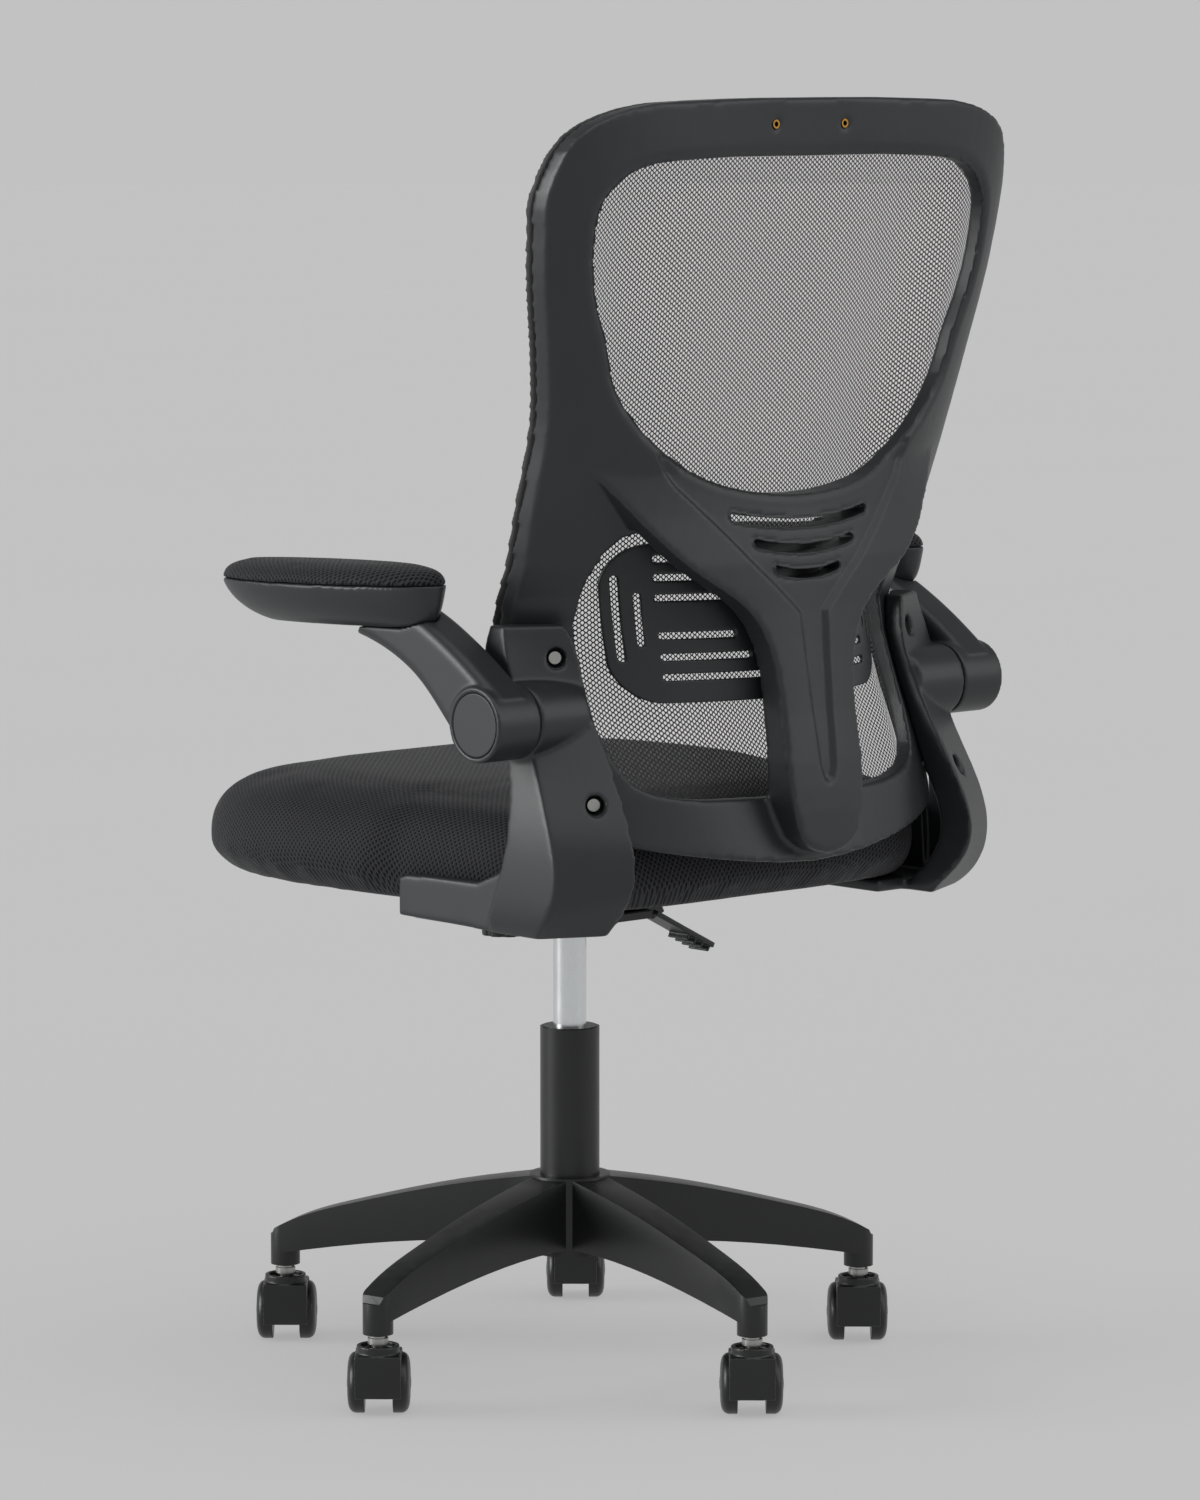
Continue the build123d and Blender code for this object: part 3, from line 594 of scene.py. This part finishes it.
def smooth_loop(half: list[tuple[float, float]], steps: int = 4) -> np.ndarray:
    """Draw a closed centripetal curve through a left half's points and their mirror.

    Args:
        half: (X, Z) points in mm from the top of the middle line to its bottom.
        steps: points made for each one given.

    Returns:
        An array of (X, Z) points in mm.
    """
    points = np.array(half + [(-x, z) for x, z in reversed(half[1:-1])], float)
    loop = []
    for i in range(len(points)):
        p = [points[(i + k) % len(points)] for k in (-1, 0, 1, 2)]
        t = [0.0]
        for a, b in zip(p, p[1:]):
            t.append(t[-1] + math.sqrt(float(np.linalg.norm(b - a))))
        for step in range(steps):
            s = t[1] + (t[2] - t[1]) * step / steps
            a = [p[k] + (p[k + 1] - p[k]) * (s - t[k]) / (t[k + 1] - t[k]) for k in range(3)]
            b = [a[k] + (a[k + 1] - a[k]) * (s - t[k]) / (t[k + 2] - t[k]) for k in range(2)]
            loop.append(b[0] + (b[1] - b[0]) * (s - t[1]) / (t[2] - t[1]))
    return np.array(loop)


def edge_distance(points: np.ndarray, loop: np.ndarray) -> np.ndarray:
    """Measure the distance from each point to a closed loop, negative inside it.

    Args:
        points: (X, Z) rows.
        loop: the loop's corners, in the same unit.

    Returns:
        One signed distance for each point.
    """
    best = np.full(len(points), 1e9)
    inside = np.zeros(len(points), bool)
    for a, b in zip(loop, np.roll(loop, -1, 0)):
        d = b - a
        t = np.clip(((points - a) @ d) / (d @ d), 0, 1)
        best = np.minimum(best, np.linalg.norm(points - a - t[:, None] * d, axis=1))
        crosses = (a[1] > points[:, 1]) != (b[1] > points[:, 1])
        side = a[0] + (points[:, 1] - a[1]) / (d[1] if abs(d[1]) > 1e-12 else 1e-12) * d[0]
        inside ^= crosses & (points[:, 0] < side)
    return np.where(inside, -best, best)


def eased(values: np.ndarray, low: float, high: float) -> np.ndarray:
    """Rise smoothly from 0 at low to 1 at high.

    Args:
        values: what is compared with the two limits.
        low: where the rise starts.
        high: where it ends.

    Returns:
        A value from 0 to 1 for each one given.
    """
    t = np.clip((values - low) / (high - low), 0, 1)
    return t * t * (3 - 2 * t)


def unfold(piece: bpy.types.Object, top: float, centre: tuple[float, float] = (0.0, 0.0)) -> None:
    """Lay a pad's cover out flat as a UV map in metres, so that its knit keeps one pitch all over.

    Args:
        piece: the pad.
        top: height of its crown.
        centre: plan position that the sides unfold away from.
    """
    points = coordinates(piece.data)
    plan = points[:, :2] - np.array(centre)
    reach = np.maximum(np.linalg.norm(plan, axis=1), 1e-6)
    flat = plan * (1 + np.maximum(top - points[:, 2], 0) / reach)[:, None]
    corners = np.zeros(len(piece.data.loops), np.int32)
    piece.data.loops.foreach_get("vertex_index", corners)
    layer = piece.data.uv_layers.new(name="unfolded")
    layer.data.foreach_set("uv", flat[corners].astype(np.float32).ravel())


def swell(piece: bpy.types.Object, cap: float, held: np.ndarray) -> None:
    """Blow a pad's cover up a little with a cloth simulation, as foam fills it.

    Args:
        piece: the pad, already evenly meshed.
        cap: the furthest that a point may move, in metres.
        held: for each point, 1 where it stays put and 0 where it is free.
    """
    before = coordinates(piece.data)
    group = piece.vertex_groups.new(name="held")
    for index in np.nonzero(held > 0.02)[0]:
        group.add([int(index)], float(held[index]), "REPLACE")
    cloth = piece.modifiers.new("cloth", "CLOTH")
    settings = cloth.settings
    settings.quality = 5
    settings.mass = 0.3
    settings.tension_stiffness = settings.compression_stiffness = 25
    settings.bending_stiffness = 2.0
    settings.use_pressure = True
    settings.uniform_pressure_force = PAD_PRESSURE
    settings.effector_weights.gravity = 0.0
    settings.vertex_group_mass = "held"
    cloth.collision_settings.use_collision = False
    scene = bpy.context.scene
    for frame_number in range(1, CLOTH_FRAMES + 1):
        scene.frame_set(frame_number)
    applied(piece)
    scene.frame_set(1)
    after = coordinates(piece.data)
    move = after - before
    length = np.maximum(np.linalg.norm(move, axis=1), 1e-9)
    move *= (np.minimum(length, cap) / length * (1 - held))[:, None]
    set_coordinates(piece.data, before + move)


# ---- the back ----
@dataclass
class NetBack:
    """The back: moulded rim with its Y spine, the net and its bound edge, and the lumbar plate."""

    wardrobe: Wardrobe
    row_pitch: float = 5.1            # mm between holes along a row
    row_height: float = 2.0           # mm between rows
    open_share: float = 0.70          # width of a hole compared with its cell
    recess: float = 3.5               # mm that the spine's middle panel lies below its ridges
    bevel: float = 9.0                # mm from the upper window over which its edge slopes
    bevel_depth: float = 3.0          # mm that the slope falls
    split: float = 745.0              # mm of height where the net's two pieces meet
    net_rows: tuple[float, float] = (470.0, 1056.0)     # mm of height that the rows of holes cover
    half_row: int = 48                # holes on each side of the middle, before the edge cuts them off
    least_share: float = 0.31         # least share of the flat size that the threads' area is declared as
    grid_x: tuple[float, float, float] = (-0.252, 0.2521, 0.007)     # start, end and step of the height field
    grid_z: tuple[float, float, float] = (0.459, 1.0671, 0.008)
    grid_passes: int = 6              # how often the height field is smoothed

    WINDOW = [(0, 1022), (120, 1021), (185, 1013), (212, 988), (215.5, 955), (209, 915), (195, 880),
              (181.5, 841), (154, 807), (122, 783), (80, 762.6), (0, 752.5)]
    NET_EDGE = [(0, 1048), (110, 1047), (180, 1042), (224, 1020), (235.5, 990), (233.5, 955), (229.5, 915),
                (219, 860), (210.5, 805), (207, 746), (200, 672), (194.5, 610), (191.5, 560), (187, 526),
                (173.5, 505), (151, 498), (90, 487), (0, 479)]
    PANEL = [(520, 0.5), (526, 6.0), (537, 9.0), (600, 12.5), (659, 15.6), (680, 38.0), (700, 61.2),
             (763, 126.0), (800, 150.0)]            # height and half-width of the recessed panel

    def build(self) -> None:
        """Build and dress every piece of the back."""
        self.frame()
        self.net()
        self.binding()
        self.lumbar()

    def frame(self) -> None:
        """Round the moulding, bevel its window and sink the spine's middle panel."""
        piece = moulded("back_moulding", "back_frame", voxel=2.3, passes=7)
        points, facing = coordinates(piece.data), normals(piece.data)
        plan = points[:, [0, 2]] / MM
        rear = eased(facing[:, 1], 0.35, 0.75)
        away = edge_distance(plan, smooth_loop(self.WINDOW))
        slope = np.clip(1 - away / self.bevel, 0, 1) * (away > -3)
        heights, widths = zip(*self.PANEL)
        half = np.interp(plan[:, 1], heights, widths)
        sunk = eased(half - np.abs(plan[:, 0]), 0, 3.5) * eased(plan[:, 1], 519, 528) * (plan[:, 1] < 790)
        drop = rear * (self.bevel_depth * slope ** 1.5 + self.recess * sunk * (1 - 0.6 * slope))
        points[:, 1] -= drop * MM
        set_coordinates(piece.data, points)
        self.wardrobe.dress(piece, Finish.frame_plastic)

    def surface(self) -> tuple[np.ndarray, np.ndarray, np.ndarray]:
        """Read the net's height field from its CAD solid and smooth it.

        Returns:
            X positions, Z positions and the grid of Y values, in metres.
        """
        mesh = bpy.data.objects["back_mesh"].data
        tree = BVHTree.FromPolygons([v.co for v in mesh.vertices], [p.vertices for p in mesh.polygons])
        xs, zs = np.arange(*self.grid_x), np.arange(*self.grid_z)
        grid = np.full((len(zs), len(xs)), np.nan)
        for j, z in enumerate(zs):
            for i, x in enumerate(xs):
                hit = tree.ray_cast(Vector((x, 0.5, z)), Vector((0, -1, 0)))[0]
                if hit is not None:
                    grid[j, i] = hit.y
        for j in range(len(zs)):
            known = ~np.isnan(grid[j])
            if known.any():
                grid[j] = np.interp(xs, xs[known], grid[j][known])
        for j in np.nonzero(np.isnan(grid[:, 0]))[0]:
            grid[j] = grid[min(max(j, 2), len(zs) - 3)]
        for _ in range(self.grid_passes):
            padded = np.pad(grid, 1, mode="reflect", reflect_type="odd")
            grid = (padded[:-2, 1:-1] + padded[2:, 1:-1] + padded[1:-1, :-2] + padded[1:-1, 2:]
                    + 4 * grid) / 8
        return xs, zs, grid

    def depth_at(self, x: np.ndarray, z: np.ndarray,
                 field: tuple[np.ndarray, np.ndarray, np.ndarray]) -> np.ndarray:
        """Read Y from the height field between its grid points.

        Args:
            x: X positions in metres.
            z: Z positions in metres.
            field: what surface() returned.

        Returns:
            Y positions in metres.
        """
        xs, zs, grid = field
        u = np.clip((x - xs[0]) / (xs[1] - xs[0]), 0, len(xs) - 1.001)
        v = np.clip((z - zs[0]) / (zs[1] - zs[0]), 0, len(zs) - 1.001)
        i, j = u.astype(int), v.astype(int)
        u, v = u - i, v - j
        return ((grid[j, i] * (1 - u) + grid[j, i + 1] * u) * (1 - v)
                + (grid[j + 1, i] * (1 - u) + grid[j + 1, i + 1] * u) * v)

    def net(self) -> None:
        """Weave the net as a lattice of six-sided holes, in an upper and a lower piece."""
        field = self.surface()
        a, h = self.row_pitch, self.row_height
        corner_x = (a * a / 4 + h * h) / a                      # corners of one hole's cell
        short_x = (a * a / 4 - h * h) / a
        cell = np.array([(corner_x, 0), (short_x, h), (-short_x, h),
                         (-corner_x, 0), (-short_x, -h), (short_x, -h)])
        edge = smooth_loop(self.NET_EDGE)
        rows = range(int(self.net_rows[0] / h), int(self.net_rows[1] / h))
        places = range(-self.half_row, self.half_row + 1)
        centres = np.array([((i + 0.5 * (j % 2)) * a, j * h) for j in rows for i in places])
        centres = centres[edge_distance(centres, edge) < 0]
        for name, chosen in (("back_net_upper", centres[:, 1] >= self.split),
                             ("back_net_lower", centres[:, 1] < self.split)):
            middle = centres[chosen]
            outer = middle[:, None, :] + cell
            inner = middle[:, None, :] + cell * self.open_share
            flat = np.concatenate([outer, inner], 1).reshape(-1, 2)
            _, first, index = np.unique(np.round(flat * 20).astype(int), axis=0,
                                        return_index=True, return_inverse=True)
            flat, index = flat[first], index.reshape(-1, 12)
            x, z = flat[:, 0] * MM, flat[:, 1] * MM
            points = np.stack([x, self.depth_at(x, z, field), z], 1)
            faces = [(int(r[k]), int(r[(k + 1) % 6]), int(r[6 + (k + 1) % 6]), int(r[6 + k]))
                     for r in index for k in range(6)]
            piece = new_piece(name, points, faces)
            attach(piece, "seat_body")
            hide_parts("back_mesh")
            self.wardrobe.dress(piece, Finish.back_mesh)

    def binding(self) -> None:
        """Wrap the net's ring in its knitted band."""
        piece = moulded("net_edge_band", "mesh_carrier", voxel=1.5, passes=12)
        self.wardrobe.dress(piece, Finish.mesh_binding)

    def lumbar(self) -> None:
        """Round the slotted lumbar plate."""
        piece = moulded("lumbar_plate", "lumbar_pad", voxel=1.3, passes=3)
        self.wardrobe.dress(piece, Finish.frame_plastic)


# ---- the seat and armrests ----
@dataclass
class Seat:
    """The seat's padded cover."""

    wardrobe: Wardrobe
    voxel: float = 6.0                # mm between the cover's points
    cap: float = 0.003                # furthest that the cloth moves a point, in metres
    fullness: float = 4.0             # mm that the relaxed cover is let out again
    spread: float = 0.012             # share by which its plan grows again
    underside: tuple[float, float] = (0.424, 0.445)     # heights where the cover comes free of the board
    bracket_x: tuple[float, float] = (0.15, 0.19)       # where the brackets hold its sides down
    bracket_y: tuple[float, float] = (0.01, 0.05)
    pucker_height: float = 0.434      # height of the gathers along its lower edge
    pucker_width: float = 0.012
    pucker_depth: float = 0.6         # mm
    crown: float = 0.507              # height of its top

    def build(self) -> None:
        """Swell the cushion, pucker its lower edge and dress it."""
        piece = moulded("seat_pad", "seat_cushion", self.voxel, passes=5)
        points = coordinates(piece.data)
        underside = 1 - eased(points[:, 2], *self.underside)
        beside_bracket = eased(np.abs(points[:, 0]), *self.bracket_x) * eased(points[:, 1], *self.bracket_y)
        held = np.clip(underside + beside_bracket, 0, 1)
        swell(piece, self.cap, held)
        relax(piece, 14, 1 - held)
        points, facing = coordinates(piece.data), normals(piece.data)
        around = np.arctan2(points[:, 1], points[:, 0])
        pucker = np.exp(-((points[:, 2] - self.pucker_height) / self.pucker_width) ** 2)
        pucker *= 1 - beside_bracket
        ripple = (np.sin(around * 46) + 0.6 * np.sin(around * 31 + 1.3) + 0.4 * np.sin(around * 77 + 0.4))
        facing[:, 2] *= 0.15
        outwards = pucker * ripple * self.pucker_depth * MM + self.fullness * MM * (1 - held)
        points += facing * outwards[:, None]
        points[:, :2] *= 1 + self.spread * (1 - held)[:, None]
        set_coordinates(piece.data, points)
        piece.modifiers.new("fine", "SUBSURF").levels = 1
        applied(piece)
        unfold(piece, self.crown)
        self.wardrobe.dress(piece, Finish.spacer_fabric)


@dataclass
class Armrests:
    """Both flip-up armrests: arm, hub, shell and pad, made on the left and turned over for the right."""

    wardrobe: Wardrobe
    cap: float = 0.004                # furthest that the cloth moves a point of a pad, in metres
    seam: float = 0.6775              # height of the pad's lower seam at its front, in metres
    seam_rise: float = 0.0085         # how much higher that seam is at the rear

    def build(self) -> None:
        """Build the left armrest and mirror it."""
        arm = moulded("arm_left", "armrest_arm_left", voxel=1.5, passes=9)
        self.wardrobe.dress(arm, Finish.frame_plastic)
        shell = moulded("pad_shell_left", "armrest_shell_left", voxel=1.5, passes=12)
        self.wardrobe.dress(shell, Finish.frame_plastic)
        pad = self.pad()
        cap = moulded("hub_disc_left", "hub_cap_left", voxel=0.6, passes=2)
        self.wardrobe.dress(cap, Finish.frame_plastic)
        for piece, name, node in ((arm, "arm_right", "armrest_arm_right"),
                                  (shell, "pad_shell_right", "armrest_shell_right"),
                                  (pad, "arm_pad_right", "armrest_cushion_right"),
                                  (cap, "hub_disc_right", "hub_cap_right")):
            twin = shifted_copy(piece, name, node, mirrored=True)
            self.wardrobe.dress(twin, Finish[piece["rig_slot"]])

    def pad(self) -> bpy.types.Object:
        """Swell the left arm pad.

        Returns:
            The finished pad.
        """
        piece = moulded("arm_pad_left", "armrest_cushion_left", voxel=2.6, passes=2)
        points = coordinates(piece.data)
        low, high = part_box("armrest_cushion_left")
        seam = self.seam + (points[:, 1] - low.y) / (high.y - low.y) * self.seam_rise
        held = 1 - eased(points[:, 2] - seam, 0.001, 0.006)
        swell(piece, self.cap, held)
        relax(piece, 8, 1 - held)
        piece.modifiers.new("fine", "SUBSURF").levels = 1
        applied(piece)
        unfold(piece, high.z, ((low.x + high.x) / 2, (low.y + high.y) / 2))
        self.wardrobe.dress(piece, Finish.spacer_fabric)
        return piece


@dataclass
class Brackets:
    """The side brackets that join seat, back and armrests."""

    wardrobe: Wardrobe

    def build(self) -> None:
        """Round the left bracket and mirror it."""
        left = moulded("side_bracket_left", "bracket_left", voxel=1.8, passes=12)
        self.wardrobe.dress(left, Finish.frame_plastic)
        right = shifted_copy(left, "side_bracket_right", "bracket_right", mirrored=True)
        self.wardrobe.dress(right, Finish.frame_plastic)


# ---- base and undercarriage ----
@dataclass
class Undercarriage:
    """The five-armed base, its casters, and the lever, knob and coil of the mechanism."""

    wardrobe: Wardrobe
    edge_radius: float = 4.0          # mm, along the edges of the base's arms
    edge_segments: int = 4
    sharpest: float = 32.0            # degrees that an edge turns before it is rounded
    coil_end: float = 1.5             # mm at each end of the coil

    def build(self) -> None:
        """Build and dress the base, casters, lever, knob and coil."""
        star = solid_copy("star_base", "base")
        edges = star.modifiers.new("edges", "BEVEL")
        edges.width, edges.segments = self.edge_radius * MM, self.edge_segments
        edges.limit_method, edges.angle_limit = "ANGLE", math.radians(self.sharpest)
        applied(star)
        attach(star, "base_body")
        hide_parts("base")
        self.wardrobe.dress(star, Finish.black_nylon)
        self.casters()
        lever = moulded("lever", "height_lever", voxel=0.9, passes=2)
        self.wardrobe.dress(lever, Finish.frame_plastic)
        knob = moulded("knob", "tension_knob", voxel=1.0, passes=2)
        self.wardrobe.dress(knob, Finish.black_nylon)
        coil = solid_copy("tilt_coil", "tension_spring")
        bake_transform(coil)
        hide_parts("tension_spring")
        self.wardrobe.dress(coil, Finish.zinc_steel)

    def casters(self) -> None:
        """Round one caster's hood and its wheels, and repeat them on every stem."""
        places = [(STEM_CIRCLE * math.cos(math.radians(a)), STEM_CIRCLE * math.sin(math.radians(a)))
                  for a in ARM_ANGLES]
        for part, voxel, passes in (("housing", 1.0, 3), ("wheel_a", 0.9, 2), ("wheel_b", 0.9, 2)):
            first = moulded(f"caster_1_{part}_moulding", f"caster_1_{part}", voxel, passes)
            self.wardrobe.dress(first, Finish.black_nylon)
            for number, (x, y) in enumerate(places[1:], start=2):
                twin = shifted_copy(first, f"caster_{number}_{part}_moulding", f"caster_{number}_{part}",
                                    (x - places[0][0], y - places[0][1], 0))
                self.wardrobe.dress(twin, Finish.black_nylon)


def dress_cad_nodes(frame: dict, wardrobe: Wardrobe) -> None:
    """Give every CAD node that still shows the finish that the record names for it, and report it.

    Args:
        wardrobe: the maker of materials.
    """
    for entry in frame["record"]["subparts"]:
        node = frame["nodes"][entry["node"]]
        if not node.hide_render:
            finish = Finish[entry["material_slot"]]
            node.data.materials.clear()
            node.data.materials.append(wardrobe.material(finish))
            LOG.info("%s: %s, shown as packed", node.name, finish.value.name)


# ---- studio ----
@dataclass
class Studio:
    """Pale floor, soft light and the camera."""

    azimuth: float = 137.216          # degrees round the chair
    distance: float = 5.1556          # metres from the column, level
    height: float = 1.1231
    aside: float = 0.0254             # metres to the camera's right
    pitch: float = 6.647              # degrees below level
    lens: float = 148.77
    backdrop: float = 0.539           # brightness of the backdrop at the horizon
    ceiling: float = 0.22             # brightness of the room overhead
    horizon: tuple[float, float] = (0.1, 0.5)     # upward slopes between which the backdrop turns to ceiling
    table_glow: float = 0.377         # the floor is a lit table, so shadows on it stay faint
    floor_radius: float = 40.0        # metres
    floor_corners: int = 96

    LAMPS = [("overhead", (0.1, 0.45, 1.0), 1.15, 70), ("left_box", (1.0, -0.7, 0.35), 2.2, 35),
             ("right_box", (-0.75, 0.9, 0.5), 0.5, 40)]      # name, where it shines from, strength, softness

    def build(self) -> None:
        """Build the studio."""
        self.floor()
        self.lights()
        self.camera()

    def floor(self) -> None:
        """Lay a large pale disc under the chair."""
        ring = [(self.floor_radius * math.cos(t), self.floor_radius * math.sin(t), 0)
                for t in np.linspace(0, 2 * math.pi, self.floor_corners, endpoint=False)]
        floor = new_piece("floor", ring, [tuple(range(self.floor_corners))])
        material, tree, shader = blank_material("studio_paper")
        place = add(tree, "ShaderNodeTexCoord").outputs["Object"]
        mottle = add(tree, "ShaderNodeTexNoise", inputs={"Vector": place, "Scale": 1.2, "Detail": 2.0})
        tone = add(tree, "ShaderNodeMix", {"data_type": "RGBA"},
                   {"Factor": mottle.outputs["Fac"], 6: linear("7a7a7a"), 7: linear("7c7c7c")})
        tree.links.new(tone.outputs[2], shader.inputs["Base Color"])
        shader.inputs["Roughness"].default_value = 0.9
        shader.inputs["Emission Color"].default_value = linear("ffffff")
        shader.inputs["Emission Strength"].default_value = self.table_glow
        shader.inputs["Specular IOR Level"].default_value = 0.0
        floor.data.materials.append(material)

    def lights(self) -> None:
        """Hang the soft boxes and fill the room with even light."""
        world = bpy.data.worlds.new("room")
        bpy.context.scene.world = world
        bpy.context.scene.view_settings.view_transform = "Standard"
        world.use_nodes = True
        tree = world.node_tree
        tree.nodes.clear()
        heading = add(tree, "ShaderNodeTexCoord").outputs["Generated"]
        upwards = add(tree, "ShaderNodeSeparateXYZ", inputs={"Vector": heading}).outputs["Z"]
        glow = add(tree, "ShaderNodeMapRange", {"interpolation_type": "SMOOTHSTEP"},
                   {"Value": upwards, "From Min": self.horizon[0], "From Max": self.horizon[1],
                    "To Min": self.backdrop, "To Max": self.ceiling})
        shader = add(tree, "ShaderNodeBackground", inputs={"Strength": glow.outputs["Result"]})
        shader.inputs["Color"].default_value = linear("ffffff")
        add(tree, "ShaderNodeOutputWorld", inputs={"Surface": shader.outputs["Background"]})
        for name, towards, strength, spread in self.LAMPS:
            data = bpy.data.lights.new(name, "SUN")
            data.energy, data.angle = strength, math.radians(spread)
            lamp = bpy.data.objects.new(name, data)
            lamp.rotation_mode = "QUATERNION"
            lamp.rotation_quaternion = Vector(towards).to_track_quat("Z", "Y")
            bpy.context.scene.collection.objects.link(lamp)

    def camera(self) -> None:
        """Set up the camera."""
        turn, dip = math.radians(self.azimuth), math.radians(self.pitch)
        back = Vector((math.sin(turn), -math.cos(turn), 0))
        right = Vector((-back.y, back.x, 0))
        data = bpy.data.cameras.new("camera")
        data.lens, data.sensor_width, data.dof.use_dof = self.lens, 36.0, False
        data.clip_start, data.clip_end = 0.1, 200
        camera = bpy.data.objects.new("camera", data)
        camera.location = back * self.distance + right * self.aside + Vector((0, 0, self.height))
        look = -back * math.cos(dip) - Vector((0, 0, math.sin(dip)))
        camera.rotation_mode = "QUATERNION"
        camera.rotation_quaternion = look.to_track_quat("-Z", "Y")
        bpy.context.scene.collection.objects.link(camera)
        bpy.context.scene.camera = camera


def main() -> None:
    """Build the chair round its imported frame."""
    logging.basicConfig(level=logging.INFO)
    for thing in list(bpy.data.objects):
        bpy.data.objects.remove(thing)
    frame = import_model()
    wardrobe = Wardrobe()
    Studio().build()
    for assembly in (NetBack(wardrobe), Brackets(wardrobe), Armrests(wardrobe), Seat(wardrobe),
                     Undercarriage(wardrobe)):
        assembly.build()
        LOG.info("%s built", type(assembly).__name__)
    dress_cad_nodes(frame, wardrobe)


if __name__ == "__main__":
    main()
